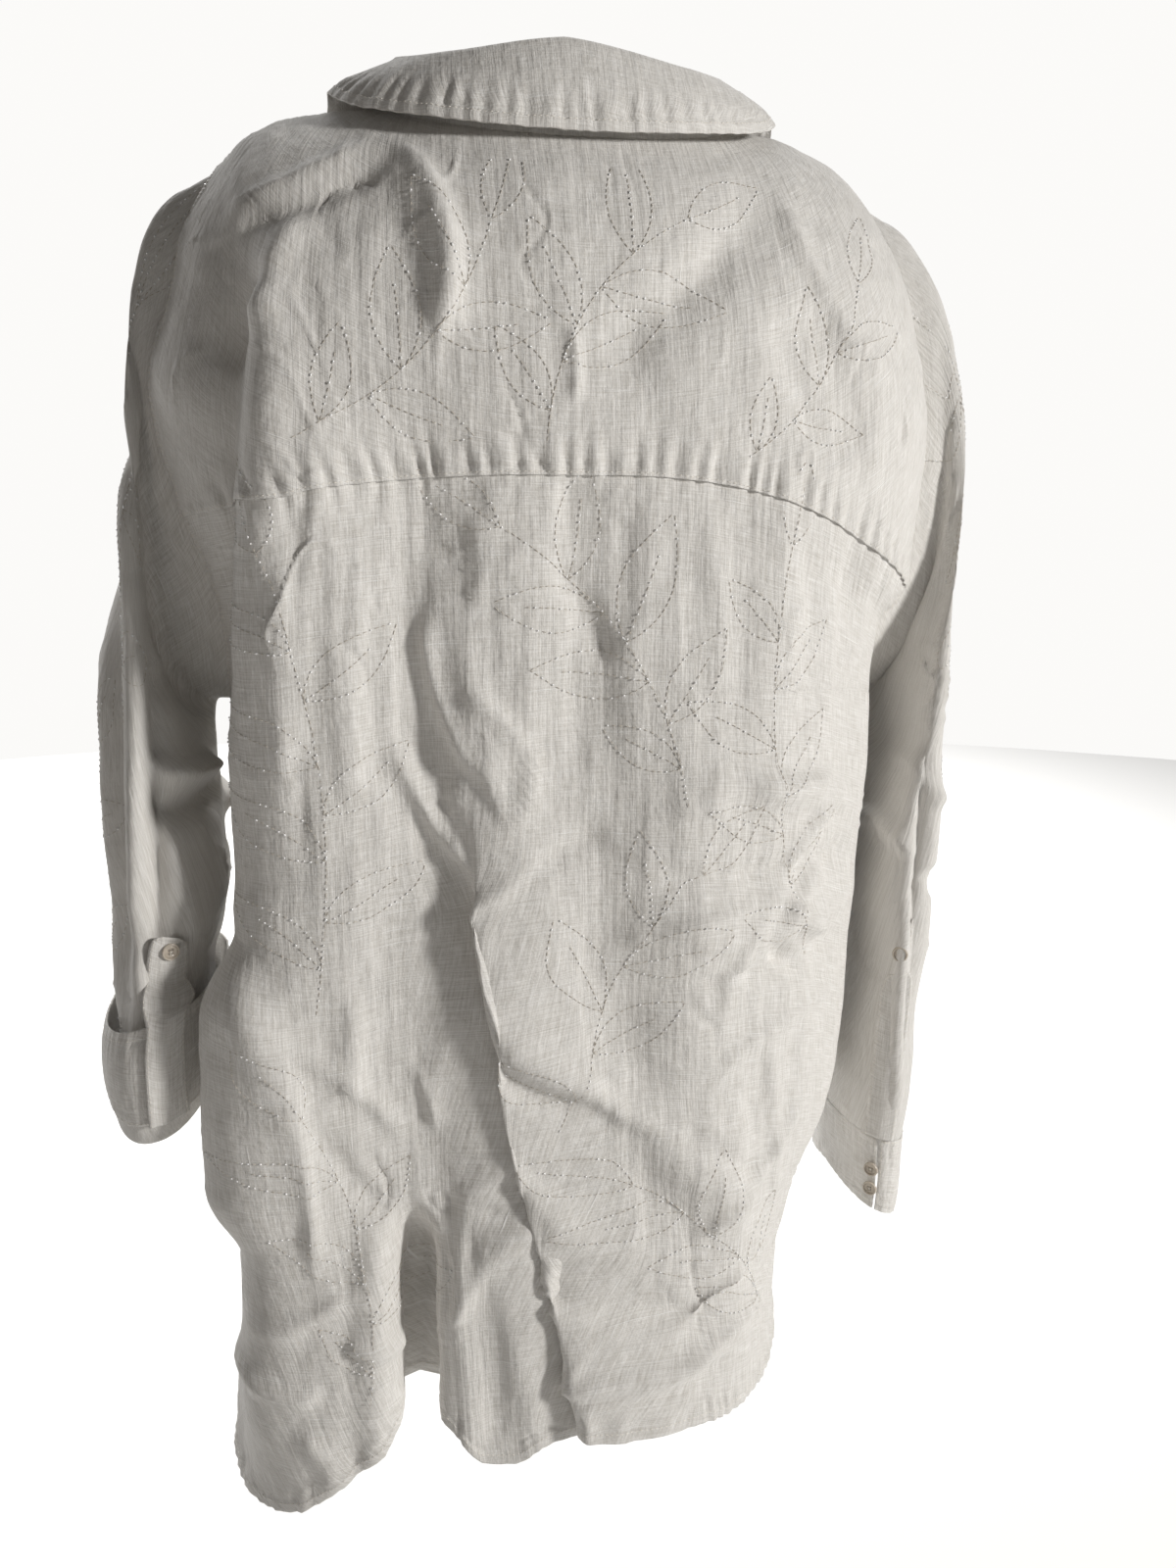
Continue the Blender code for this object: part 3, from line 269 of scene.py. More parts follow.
CUFF_SLIT_HALF = 1.5     # half the opening of a cuff, degrees round the sleeve

# The collar, along the neck seam: the stand's height and lean, and where the
# fall's edge lies: its ring on the torso, its height over it and its spread.
Collar = namedtuple("Collar", "turn height lean edge_ring edge_up edge_out")
COLLAR = [
    Collar(-75.0, 0.024, 0.006, 2.60, 0.009, 0.002),
    Collar(-50.0, 0.024, 0.004, 1.60, 0.009, 0.002),
    Collar(-20.0, 0.023, 0.001, 1.15, 0.009, 0.002),
    Collar(10.0, 0.026, -0.005, 0.85, 0.010, 0.002),
    Collar(45.0, 0.034, -0.006, 0.38, 0.006, 0.009),
    Collar(90.0, 0.048, -0.009, 0.12, 0.002, 0.010),
]

# Broad, shallow swells of the hanging back: the left half falls back to the crease.
BACK_SWELLS = [
    Fold(0.158, -0.150, 0.172, -0.860, 0.000, 0.0150, 0.038),
    Fold(0.084, -0.230, 0.090, -0.860, 0.000, -0.0060, 0.038),
    Fold(0.087, -0.440, 0.026, -0.800, 0.000, 0.0075, 0.015),
    Fold(-0.062, -0.300, -0.082, -0.860, 0.000, 0.0100, 0.044),
    Fold(-0.005, -0.260, -0.020, -0.600, 0.000, -0.0040, 0.030),
    Fold(0.128, -0.050, 0.140, -0.200, 0.000, 0.0050, 0.024),
]
# Smaller creases of the back, too fine for the solids. The depths of these and of
# the front's are all raised by one gain.
CREASE_GAIN = 1.3
BACK_CREASES = [
    Fold(0.104, -0.645, 0.101, -0.830, 0.000, -0.0100, 0.0052),
    Fold(0.093, -0.650, 0.090, -0.830, 0.000, 0.0035, 0.0055),
    Fold(-0.172, -0.385, -0.090, -0.470, 0.008, 0.0028, 0.0050),
    Fold(-0.180, -0.500, -0.080, -0.530, -0.006, 0.0026, 0.0060),
    Fold(-0.150, -0.570, -0.070, -0.640, 0.006, 0.0026, 0.0055),
    Fold(-0.040, -0.745, -0.140, -0.700, 0.005, 0.0030, 0.0060),
    Fold(0.060, -0.560, 0.075, -0.660, -0.004, 0.0028, 0.0055),
    Fold(0.160, -0.500, 0.110, -0.560, 0.005, 0.0024, 0.0060),
    Fold(0.086, -0.252, 0.062, -0.338, -0.007, 0.0050, 0.0060),
    Fold(0.104, -0.324, 0.070, -0.395, -0.004, 0.0045, 0.0070),
    Fold(0.062, -0.294, 0.034, -0.328, 0.003, 0.0030, 0.0050),
    Fold(0.030, -0.326, 0.038, -0.372, 0.003, 0.0030, 0.0045),
    Fold(0.058, -0.333, 0.043, -0.368, 0.001, 0.0022, 0.0040),
    Fold(0.154, -0.218, 0.156, -0.345, 0.002, 0.0025, 0.0080),
    Fold(0.130, -0.262, 0.127, -0.350, 0.002, 0.0022, 0.0060),
    Fold(-0.100, -0.352, -0.160, -0.353, -0.004, 0.0032, 0.0055),
    Fold(-0.125, -0.414, -0.165, -0.367, 0.003, 0.0042, 0.0050),
    Fold(-0.018, -0.441, -0.116, -0.424, -0.003, 0.0028, 0.0060),
    Fold(-0.122, -0.420, -0.168, -0.456, -0.004, 0.0036, 0.0055),
    Fold(-0.050, -0.364, -0.086, -0.363, 0.001, 0.0020, 0.0050),
    Fold(-0.086, -0.494, -0.122, -0.420, 0.004, 0.0026, 0.0060),
    Fold(-0.112, -0.446, -0.150, -0.482, -0.003, -0.0024, 0.0060),
    Fold(0.034, -0.402, -0.012, -0.377, 0.002, -0.0026, 0.0050),
    Fold(0.062, -0.428, 0.022, -0.389, -0.002, 0.0024, 0.0050),
    Fold(0.014, -0.223, -0.012, -0.280, 0.003, -0.0024, 0.0070),
    Fold(0.178, -0.462, 0.157, -0.650, 0.005, 0.0050, 0.0065),
    Fold(0.130, -0.470, 0.133, -0.534, 0.001, 0.0026, 0.0050),
    Fold(0.148, -0.553, 0.124, -0.607, -0.004, -0.0030, 0.0060),
    Fold(0.098, -0.520, 0.088, -0.556, 0.001, 0.0024, 0.0045),
    Fold(0.047, -0.477, -0.006, -0.548, -0.006, -0.0038, 0.0060),
    Fold(0.020, -0.500, -0.058, -0.572, -0.008, 0.0036, 0.0065),
    Fold(0.036, -0.603, -0.028, -0.680, -0.004, -0.0036, 0.0060),
    Fold(0.026, -0.664, -0.030, -0.684, 0.001, 0.0026, 0.0055),
    Fold(0.010, -0.742, -0.095, -0.726, 0.004, 0.0036, 0.0070),
    Fold(-0.052, -0.706, -0.118, -0.660, -0.002, 0.0036, 0.0065),
    Fold(0.084, -0.690, 0.050, -0.606, -0.004, 0.0040, 0.0070),
    Fold(0.204, -0.718, 0.160, -0.734, -0.006, 0.0038, 0.0070),
    Fold(0.186, -0.696, 0.134, -0.666, 0.003, 0.0030, 0.0070),
    Fold(0.142, -0.700, 0.108, -0.712, 0.002, 0.0034, 0.0050),
    Fold(0.170, -0.760, 0.150, -0.800, 0.002, 0.0028, 0.0070),
    Fold(0.088, -0.009, 0.074, -0.106, 0.012, 0.0040, 0.0060),
    Fold(0.006, -0.104, 0.005, -0.140, 0.001, 0.0022, 0.0035),
    Fold(0.160, -0.078, 0.188, -0.120, -0.003, -0.0040, 0.0090),
    Fold(-0.086, -0.054, -0.044, -0.090, 0.002, -0.0018, 0.0090),
    Fold(-0.112, -0.092, -0.140, -0.162, -0.003, -0.0028, 0.0100),
    Fold(0.108, -0.007, 0.176, -0.040, 0.003, 0.0030, 0.0060),
    Fold(0.096, -0.018, 0.172, -0.050, 0.004, -0.0026, 0.0060),
    Fold(0.142, -0.052, 0.162, -0.108, -0.003, 0.0036, 0.0080),
    Fold(-0.118, -0.022, -0.186, -0.122, -0.012, 0.0026, 0.0070),
    Fold(0.060, -0.196, 0.056, -0.245, 0.002, 0.0022, 0.0060),
    Fold(-0.020, -0.196, -0.024, -0.262, 0.002, -0.0020, 0.0060),
    Fold(-0.070, -0.198, -0.078, -0.300, 0.003, 0.0022, 0.0070),
    Fold(-0.135, -0.225, -0.140, -0.315, 0.003, -0.0022, 0.0080),
    Fold(-0.030, -0.560, -0.110, -0.610, 0.006, -0.0028, 0.0080),
    Fold(-0.120, -0.520, -0.130, -0.640, 0.003, 0.0024, 0.0060),
    Fold(0.012, -0.585, -0.020, -0.640, 0.003, 0.0024, 0.0060),
]
# And of the front, which hangs in the same way.
FRONT_CREASES = [
    Fold(0.060, -0.180, 0.085, -0.330, 0.006, 0.0030, 0.0070),
    Fold(0.150, -0.250, 0.095, -0.330, 0.004, -0.0028, 0.0070),
    Fold(0.120, -0.400, 0.050, -0.440, 0.005, 0.0030, 0.0065),
    Fold(0.150, -0.470, 0.090, -0.520, -0.004, 0.0028, 0.0065),
    Fold(0.070, -0.560, 0.080, -0.660, 0.004, -0.0030, 0.0080),
    Fold(-0.065, -0.190, -0.080, -0.350, -0.005, 0.0030, 0.0070),
    Fold(-0.150, -0.250, -0.100, -0.320, 0.004, 0.0028, 0.0070),
    Fold(-0.120, -0.390, -0.050, -0.430, -0.005, -0.0030, 0.0065),
    Fold(-0.150, -0.460, -0.080, -0.500, 0.004, 0.0032, 0.0060),
    Fold(-0.090, -0.560, -0.100, -0.670, -0.004, 0.0032, 0.0080),
    Fold(-0.040, -0.500, -0.110, -0.560, 0.004, -0.0026, 0.0070),
    Fold(0.040, -0.300, 0.110, -0.360, 0.004, 0.0024, 0.0070),
]
# Folds of the sleeves, by distance from the middle of the body and height. They
# show on the back of the sleeve and come again, a little lower, on its front.
LEFT_ARM_FOLDS = [
    Fold(0.246, -0.170, 0.259, -0.450, 0.004, 0.0055, 0.0065),
    Fold(0.236, -0.240, 0.247, -0.455, 0.002, -0.0050, 0.0050),
    Fold(0.262, -0.200, 0.270, -0.470, 0.003, -0.0050, 0.0060),
    Fold(0.268, -0.280, 0.275, -0.500, 0.001, 0.0040, 0.0050),
    Fold(0.236, -0.100, 0.248, -0.280, 0.004, -0.0040, 0.0070),
    Fold(0.223, -0.060, 0.232, -0.240, 0.003, 0.0040, 0.0070),
    Fold(0.232, -0.235, 0.214, -0.290, 0.003, 0.0040, 0.0060),
    Fold(0.234, -0.285, 0.212, -0.325, -0.003, -0.0040, 0.0060),
    Fold(0.242, -0.338, 0.206, -0.350, -0.005, 0.0075, 0.0065),
    Fold(0.244, -0.362, 0.206, -0.368, -0.004, -0.0075, 0.0080),
    Fold(0.238, -0.380, 0.228, -0.450, 0.002, 0.0035, 0.0060),
    Fold(0.256, -0.455, 0.262, -0.520, 0.002, 0.0040, 0.0060),
    Fold(0.244, -0.480, 0.250, -0.545, 0.002, -0.0035, 0.0050),
]
RIGHT_ARM_FOLDS = [
    Fold(0.238, -0.080, 0.248, -0.300, 0.004, 0.0040, 0.0070),
    Fold(0.226, -0.060, 0.232, -0.220, 0.003, -0.0035, 0.0070),
    Fold(0.224, -0.180, 0.238, -0.330, -0.004, 0.0035, 0.0060),
    Fold(0.214, -0.240, 0.228, -0.360, 0.003, -0.0035, 0.0060),
    Fold(0.240, -0.330, 0.246, -0.560, 0.003, -0.0045, 0.0060),
    Fold(0.250, -0.300, 0.254, -0.520, 0.002, 0.0040, 0.0060),
    Fold(0.222, -0.395, 0.236, -0.420, 0.002, 0.0035, 0.0050),
    Fold(0.236, -0.460, 0.240, -0.620, 0.003, 0.0035, 0.0060),
    Fold(0.228, -0.120, 0.244, -0.170, 0.002, 0.0030, 0.0060),
    Fold(0.232, -0.350, 0.252, -0.385, 0.002, 0.0030, 0.0050),
    Fold(0.248, -0.430, 0.256, -0.450, 0.001, -0.0030, 0.0050),
]

# Sprays of the embroidery on the back: where the stem starts and ends, how far
# it bows aside, how many leaves it carries and how long the largest is.
Spray = namedtuple("Spray", "x1 z1 x2 z2 bow leaves long")
BACK_SPRAYS = [
    Spray(0.150, -0.160, 0.045, -0.050, 0.018, 5, 0.062),
    Spray(0.020, -0.162, -0.060, -0.045, -0.020, 5, 0.066),
    Spray(-0.085, -0.172, -0.165, -0.070, 0.014, 4, 0.056),
    Spray(0.148, -0.480, 0.162, -0.215, 0.016, 7, 0.060),
    Spray(-0.060, -0.360, 0.045, -0.205, 0.022, 6, 0.070),
    Spray(-0.150, -0.470, -0.120, -0.215, -0.020, 7, 0.060),
    Spray(0.000, -0.560, -0.070, -0.400, -0.018, 5, 0.066),
    Spray(0.130, -0.740, 0.160, -0.540, 0.014, 5, 0.056),
    Spray(-0.120, -0.720, -0.030, -0.600, 0.020, 5, 0.062),
]
ARM_SPRAYS = [
    Spray(-0.020, -0.330, -0.030, -0.110, 0.012, 6, 0.052),
    Spray(-0.070, -0.540, -0.055, -0.360, 0.010, 5, 0.046),
]
FRONT_SPRAYS = [
    Spray(0.120, -0.420, 0.080, -0.180, 0.018, 6, 0.062),
    Spray(-0.120, -0.420, -0.080, -0.180, -0.018, 6, 0.062),
]


# ---------------------------------------------------------------- small helpers
def along(table, where):
    """Rows of a table read smoothly at fractional row numbers."""
    rows = np.array(table, dtype=float)
    where = np.clip(np.asarray(where, dtype=float), 0.0, len(rows) - 1.0)
    low = np.minimum(where.astype(int), len(rows) - 2)
    part = (where - low)[..., None]
    before = rows[np.maximum(low - 1, 0)]
    start = rows[low]
    end = rows[low + 1]
    after = rows[np.minimum(low + 2, len(rows) - 1)]
    slope = end - before
    bend = 2 * before - 5 * start + 4 * end - after
    twist = 3 * start - before - 3 * end + after
    return start + 0.5 * part * (slope + part * (bend + part * twist))


def smooth(value):
    """An easy step from 0 to 1."""
    value = np.clip(value, 0.0, 1.0)
    return value * value * (3.0 - 2.0 * value)


def power(value, exponent):
    """A power that keeps the sign."""
    return np.sign(value) * np.abs(value) ** exponent


def unit(vectors):
    """Vectors of length 1."""
    return vectors / np.maximum(np.linalg.norm(vectors, axis=-1, keepdims=True), 1e-12)


# ---------------------------------------------------------------- the torso
def level(turn, ring):
    """The plain torso without folds."""
    turn, ring = np.broadcast_arrays(np.asarray(turn, float), np.asarray(ring, float))
    row = Ring(*np.moveaxis(along(RINGS, ring), -1, 0))
    across = np.cos(np.radians(turn))
    out = np.sin(np.radians(turn))
    x = power(across, 2.0 / row.square) * np.where(across > 0, row.left, row.right)
    depth = np.abs(out) ** (2.0 / row.square)
    y = row.side_y + depth * np.where(out > 0, row.back_y - row.side_y, row.front_y - row.side_y)
    side_z = row.side_z - np.where(across > 0, 0.0, row.skew)
    z = side_z + np.abs(out) ** row.hang * np.where(out > 0, row.back_z - side_z, row.front_z - side_z)
    return np.stack([x, y, z], -1)


def on_side(facing, start):
    """How much a place belongs to a side that it faces: not up to start, wholly a bit further."""
    return smooth((facing - start) / 0.35)


def level_size(ring, name):
    """One of a level's sizes, by its name in the table."""
    return along(RINGS, ring)[..., Ring._fields.index(name)]


def fold_height(folds, x, z):
    """How far a set of folds lifts the cloth at x, z."""
    lift = np.zeros_like(x)
    for fold in folds:
        run_x, run_z = fold.x2 - fold.x1, fold.z2 - fold.z1
        length = math.hypot(run_x, run_z)
        run = ((x - fold.x1) * run_x + (z - fold.z1) * run_z) / length**2
        aside = ((x - fold.x1) * run_z - (z - fold.z1) * run_x) / length
        inside = np.clip(run, 0.0, 1.0)
        aside = aside - fold.bow * 4.0 * inside * (1.0 - inside)
        ends = smooth((run + 0.12) / 0.3) * smooth((1.12 - run) / 0.3)
        lift = lift + fold.depth * ends * np.exp(-(aside / fold.width) ** 2)
    return lift


def crease_at(z):
    """Edge, lap and rise of the long crease at a height."""
    columns = Crease(*zip(*sorted(CREASE)))
    return [np.interp(z, columns.z, values) for values in (columns.x, columns.lap, columns.rise)]


def torso(turn, ring):
    """The torso with its folds."""
    turn, ring = np.broadcast_arrays(np.asarray(turn, float), np.asarray(ring, float))
    flat = level(turn, ring)
    d_turn = level(turn + 0.5, ring) - level(turn - 0.5, ring)
    d_ring = level(turn, ring + 0.05) - level(turn, np.maximum(ring - 0.05, 0.0))
    normal = unit(np.cross(d_ring, d_turn))
    across = unit(d_turn)
    x, z = flat[..., 0], flat[..., 2]
    facing = np.sin(np.radians(turn))
    back, front = on_side(facing, 0.12), on_side(-facing, 0.25)
    calm = smooth((ring - 0.4) / 1.6)
    lift = back * calm * fold_height(BACK_FOLDS, x, z) + front * calm * fold_height(FRONT_FOLDS, x, z)
    edge, lap, rise = crease_at(z)
    part = (edge - lap / 2.0 - x) / CREASE_HALF
    near = np.clip(part, -1.0, 1.0)
    pull = (CREASE_HALF / 3.0 + lap / 2.0) / LAP_SLOPE * smooth(lap / 0.006)
    slide = pull * near * (1.0 - near**2) ** 2
    stand = rise * smooth((part + 0.40) / 0.80) * (1.0 - smooth((part - 0.55) / 1.1))
    behind = np.where(facing > 0.3, 1.0, 0.0)
    lift = lift + behind * stand
    return flat + normal * lift[..., None] - across * (behind * slide)[..., None]


def torso_normal(turn, ring):
    """Outward normal of the folded torso."""
    d_turn = torso(turn + 0.15, ring) - torso(turn - 0.15, ring)
    d_ring = torso(turn, ring + 0.02) - torso(turn, np.maximum(ring - 0.02, 0.0))
    return unit(np.cross(d_ring, d_turn))


def arm_turn(swing, side):
    """Turn and ring of the armhole's edge at a place round it, 0 at the shoulder."""
    part = (1.0 - np.cos(np.radians(swing))) / 2.0
    reach = np.where(np.mod(swing, 360.0) <= 180.0, ARM_BACK, ARM_FRONT)
    turn = ARM_TILT * (1.0 - part) + reach * np.sin(np.radians(swing))
    return (turn if side > 0 else 180.0 - turn), ARM_TOP + (ARM_PIT - ARM_TOP) * part


def arm_swing(ring):
    """Place round the armhole of a ring."""
    part = np.clip((np.asarray(ring, float) - ARM_TOP) / (ARM_PIT - ARM_TOP), 0.0, 1.0)
    return np.degrees(np.arccos(1.0 - 2.0 * part))


def back_end(ring):
    """Turn where a back piece ends on the left, mirrored on the right."""
    if ring <= ARM_TOP:
        return NECK_SEAM_TURN + (ARM_TILT - NECK_SEAM_TURN) * ring / ARM_TOP
    if ring <= ARM_PIT:
        return float(arm_turn(arm_swing(ring), 1)[0])
    return 2.5 * max(0.0, ring - SLIT_TOP)


def front_end(ring):
    """Turn where a front piece ends at its side."""
    if ring <= ARM_TOP:
        return back_end(ring)
    if ring <= ARM_PIT:
        return float(arm_turn(360.0 - arm_swing(ring), 1)[0])
    return -4.0 * max(0.0, ring - SLIT_TOP) ** 1.3


def turn_of(x, ring):
    """Turn where a level of the back lies at x."""
    half = np.where(np.asarray(x) > 0, level_size(ring, "left"), level_size(ring, "right"))
    share = np.minimum(1.0, np.abs(x) / half) ** (level_size(ring, "square") / 2.0)
    return np.degrees(np.arccos(np.copysign(share, x)))


def front_turn(x, ring):
    """Turn on the front at x."""
    share = np.minimum(1.0, np.abs(x) / level_size(ring, "left")) ** (level_size(ring, "square") / 2.0)
    return -np.degrees(np.arccos(np.copysign(share, x)))


def ring_of(z, side="back_z"):
    """Ring of the back, or the front, at a height."""
    heights = [-getattr(row, side) for row in RINGS]
    return np.interp(-np.asarray(z), heights, range(len(RINGS)))


# ---------------------------------------------------------------- small creases
noise.seed_set(3)        # without it the vector noise differs from run to run


def crumple(places, depth=CRUMPLE, size=0.042):
    """How far small creases lift linen: soft dents, and short sharper creases across them."""
    flat = np.asarray(places).reshape(-1, 3)
    lifts = np.empty(len(flat))
    for spot, (x, y, z) in enumerate(flat):
        place = Vector((x, y, z * 0.75)) / size
        soft = noise.noise(place) + 0.55 * noise.noise(place * 2.3)
        bent = place * 1.3 + 0.8 * noise.noise_vector(place * 0.8)
        crease = max(0.0, 1.0 - abs(noise.noise(bent)) / 0.11)
        some = noise.noise(place * 0.9 + Vector((4.0, 8.0, 2.0)))
        much = 0.5 + 0.9 * abs(noise.noise(place * 0.45 + Vector((7.0, 3.0, 1.0))))
        lifts[spot] = (soft + 2.4 * some * crease * crease) * much
    return lifts.reshape(np.asarray(places).shape[:-1]) * depth


def streaks(x, z, depth):
    """Soft creases that run down the cloth, as it hangs."""
    lifts = [noise.noise(Vector((across / 0.0085, down / 0.075, 3.0))) +
             0.5 * noise.noise(Vector((across / 0.0190, down / 0.160, 9.0)))
             for across, down in zip(x.ravel(), z.ravel())]
    return depth * np.array(lifts).reshape(x.shape)


def pucker(run, away, wave, depth, reach):
    """Swells that a seam draws up: run metres along it, away metres from it."""
    run, away = np.asarray(run), np.abs(np.asarray(away))
    rough = np.array([noise.noise(Vector((value / wave * 0.6, 5.0, 0.0))) for value in run.ravel()])
    rough = rough.reshape(run.shape)
    swell = np.abs(np.sin(math.pi * (run / wave + 0.6 * rough))) - 0.5
    much = depth * (0.65 + 0.9 * np.abs(rough))
    return much * swell * (0.45 + 0.55 * smooth(away / 0.006)) * np.exp(-((away / reach) ** 2))


def worn(turn, ring, lift=0.0):
    """The torso with all its folds and creases, moved out by lift."""
    turn, ring = np.broadcast_arrays(np.asarray(turn, float), np.asarray(ring, float))
    points = torso(turn, ring)
    normal = torso_normal(turn, ring)
    flat = level(turn, ring)
    facing = np.sin(np.radians(turn))
    back, front = on_side(facing, 0.12), on_side(-facing, 0.20)
    calm = smooth(ring / 1.1)
    x, z = flat[..., 0], flat[..., 2]
    small = back * (fold_height(BACK_SWELLS, x, z) + CREASE_GAIN * fold_height(BACK_CREASES, x, z))
    small = small + front * CREASE_GAIN * fold_height(FRONT_CREASES, x, z)
    rough = crumple(flat)
    below = smooth((ring - YOKE_SEAM) / 0.3) * (1.0 - 0.75 * smooth((ring - YOKE_SEAM - 0.5) / 5.0))
    hanging = streaks(x, z, 0.0016) * (0.25 + below)
    return points + normal * (calm * (small + rough + hanging) + lift)[..., None]


# ---------------------------------------------------------------- cloth pieces
THREADS = []             # lines of topstitching that the pieces ask for: places and normals
ENDS = ("first_col", "last_col")
ALL_ROUND = ("first_row", "last_row", "first_col", "last_col")


def outward(points, heart):
    """Normals of a grid of points, on the side away from what it goes round."""
    normals = unit(np.cross(np.gradient(points, axis=1), np.gradient(points, axis=0)))
    away = (points - [heart[0], heart[1], 0.0]) * [1.0, 1.0, 0.0]
    return normals * (1.0 if np.sum(normals * away) > 0 else -1.0)


def run_along(points, axis):
    """Metres from the first row or column of a grid of points."""
    steps = np.linalg.norm(np.diff(points, axis=axis), axis=-1)
    start = np.zeros_like(np.take(steps, [0], axis))
    return np.concatenate([start, np.cumsum(steps, axis)], axis)


def edge_gap(points, edge):
    """Metres from each point of a grid to one of its edges."""
    axis = 0 if edge.endswith("row") else 1
    run = run_along(points, axis)
    return np.take(run, [-1], axis) - run if edge.startswith("last") else run


def edge_run(points, edge):
    """Metres along an edge of a grid, shaped to spread over the whole grid."""
    run = run_along(points, 1 if edge.endswith("row") else 0)
    spot = [-1] if edge.startswith("last") else [0]
    return np.take(run, spot, 0 if edge.endswith("row") else 1)


def folded_edges(points, normals, edges, width, height=FOLDED, waves=0.0014):
    """Raise the folded-in strip along each edge, with the small waves of its sewing."""
    for edge in edges:
        gap = edge_gap(points, edge)
        raised = height * (1.0 - smooth((gap - width) / 0.0016))
        drawn = pucker(edge_run(points, edge), np.maximum(gap - width, 0.0), EDGE_WAVE, waves, 0.009)
        points = points + normals * (raised + drawn)[..., None]
    return points


def drawn_up(points, normals, edge, wave, depth, reach, share=1.0):
    """Pucker the cloth along a seam at one of its edges."""
    drawn = pucker(edge_run(points, edge), edge_gap(points, edge), wave, depth, reach)
    return points + normals * (drawn * share)[..., None]


def inset_line(points, normals, edge, distance):
    """The line that runs along an edge of a grid at a distance from it."""
    gap = edge_gap(points, edge)
    if edge.endswith("col"):
        points, normals, gap = (np.swapaxes(values, 0, 1) for values in (points, normals, gap))
    line, up = [], []
    for column in range(gap.shape[1]):
        order = np.argsort(gap[:, column])
        near = gap[order, column]
        line.append([np.interp(distance, near, points[order, column, axis]) for axis in range(3)])
        up.append([np.interp(distance, near, normals[order, column, axis]) for axis in range(3)])
    return np.array(line), unit(np.array(up))


def topstitch(points, normals, edges, *distances, cut=0.0):
    """Rows of topstitching along each edge, stopping a little before its ends."""
    for edge in edges:
        for distance in distances:
            line, up = inset_line(points, normals, edge, distance)
            shown = slice(int(cut * len(line)), len(line) - int(cut * len(line)))
            THREADS.append((line[shown], up[shown]))


def weave_run(plain, edge=False):
    """Metres across and down a plain grid, counted from x = 0 or from its last column."""
    across, down = run_along(plain, 1), run_along(plain, 0)
    if edge:
        return across - across[:, -1:], down
    start = [np.interp(0.0, -row[:, 0], run) for row, run in zip(plain, across)]
    return across - np.array(start)[:, None], down


def cloth(name, points, nodes, heart, finish, thick=CLOTH, weave=None):
    """A sheet of linen through a grid of points; heart is x and y of what it goes round."""
    rows, columns = points.shape[:2]
    bm = bmesh.new()
    bmesh.ops.create_grid(bm, x_segments=columns - 1, y_segments=rows - 1, size=0.5)
    grain = bm.loops.layers.uv.new("grain")
    across = run_along(points, 1)
    across = across - across[:, [columns // 2]]
    down = run_along(points, 0)
    weft, warp = (across, down) if weave is None else weave
    for vert in bm.verts:
        row = round((vert.co.y + 0.5) * (rows - 1))
        column = round((vert.co.x + 0.5) * (columns - 1))
        vert.co = points[row, column]
        place = (weft[row, column], warp[row, column])
        for loop in vert.link_loops:
            loop[grain].uv = place
    bmesh.ops.remove_doubles(bm, verts=bm.verts[:], dist=1e-6)
    bmesh.ops.recalc_face_normals(bm, faces=bm.faces[:])
    middle = Vector((heart[0], heart[1], 0.0))
    facing = 0.0
    for face in bm.faces:
        away = face.calc_center_median() - middle
        facing += face.normal.x * away.x + face.normal.y * away.y
    if facing < 0.0:
        bmesh.ops.reverse_faces(bm, faces=bm.faces[:])
    area = sum(face.calc_area() for face in bm.faces)
    made = add_object(name, bm, finish, nodes)
    wall = made.modifiers.new("thickness", "SOLIDIFY")
    wall.thickness = thick
    wall.offset = -1.0


def add_object(name, bm, finish, nodes):
    """A piece from a finished bmesh, in the place of its plain solids."""
    mesh = bpy.data.meshes.new(name)
    bm.to_mesh(mesh)
    bm.free()
    return add_piece(name, mesh, finish, nodes)


def add_piece(name, mesh, finish, nodes=()):
    """A named, smooth-shaded piece that belongs to the blouse's one body."""
    mesh.shade_smooth()
    mesh.materials.append(finish)
    made = bpy.data.objects.new(name, mesh)
    bpy.context.collection.objects.link(made)
    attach(made, "root")
    if nodes:
        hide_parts(*nodes)
    return made


def spaced(count, start=0.0, end=0.0):
    """Shares from 0 to 1: start and end say how much closer they lie there."""
    part = np.linspace(0.0, 1.0, count - 1)
    steps = 1.0 - start * (1.0 - part) ** 3 - end * part**3
    return np.concatenate([[0.0], np.cumsum(steps) / steps.sum()])


def close_ends(turns):
    """Add two columns between the first two and the last two."""
    first, last = turns[1] - turns[0], turns[-2] - turns[-1]
    start = [turns[0], turns[0] + 0.25 * first, turns[0] + 0.6 * first]
    end = [turns[-1] + 0.6 * last, turns[-1] + 0.25 * last, turns[-1]]
    return np.array(start + list(turns[1:-1]) + end)


# ---------------------------------------------------------------- body pieces
BODY = (0.0, -0.085)     # x and y of the body's middle


def even_columns(ring, start, end, count):
    """Turns across a level at equal distances."""
    turns = np.linspace(start, end, 900)
    run = run_along(level(turns, ring)[None], 1)[0]
    return np.interp(np.linspace(0.0, run[-1], count), run, turns)


def back_columns(ring):
    """Turns across the back: closer together at the deep fold and the crease."""
    height = float(level_size(ring, "back_z"))
    start = back_end(ring)
    end = 180.0 - start
    edge, lap, _ = (float(value) for value in crease_at(height))
    crease = float(turn_of(edge - lap / 2.0, ring))
    spread = math.degrees(CREASE_HALF / float(level_size(ring, "left"))) * CREASE_SHARE
    near = min(float(turn_of(TROUGH_X, ring)) + TROUGH_REACH, crease - spread - CREASE_CLEAR)
    stops = [start, near - 2.0 * TROUGH_REACH, near, crease - spread, crease + spread, end]
    turns = [[start]]
    for low, high, steps in zip(stops, stops[1:], BACK_STEPS):
        turns.append(even_columns(ring, low, high, steps + 1)[1:])
    return close_ends(np.concatenate(turns))


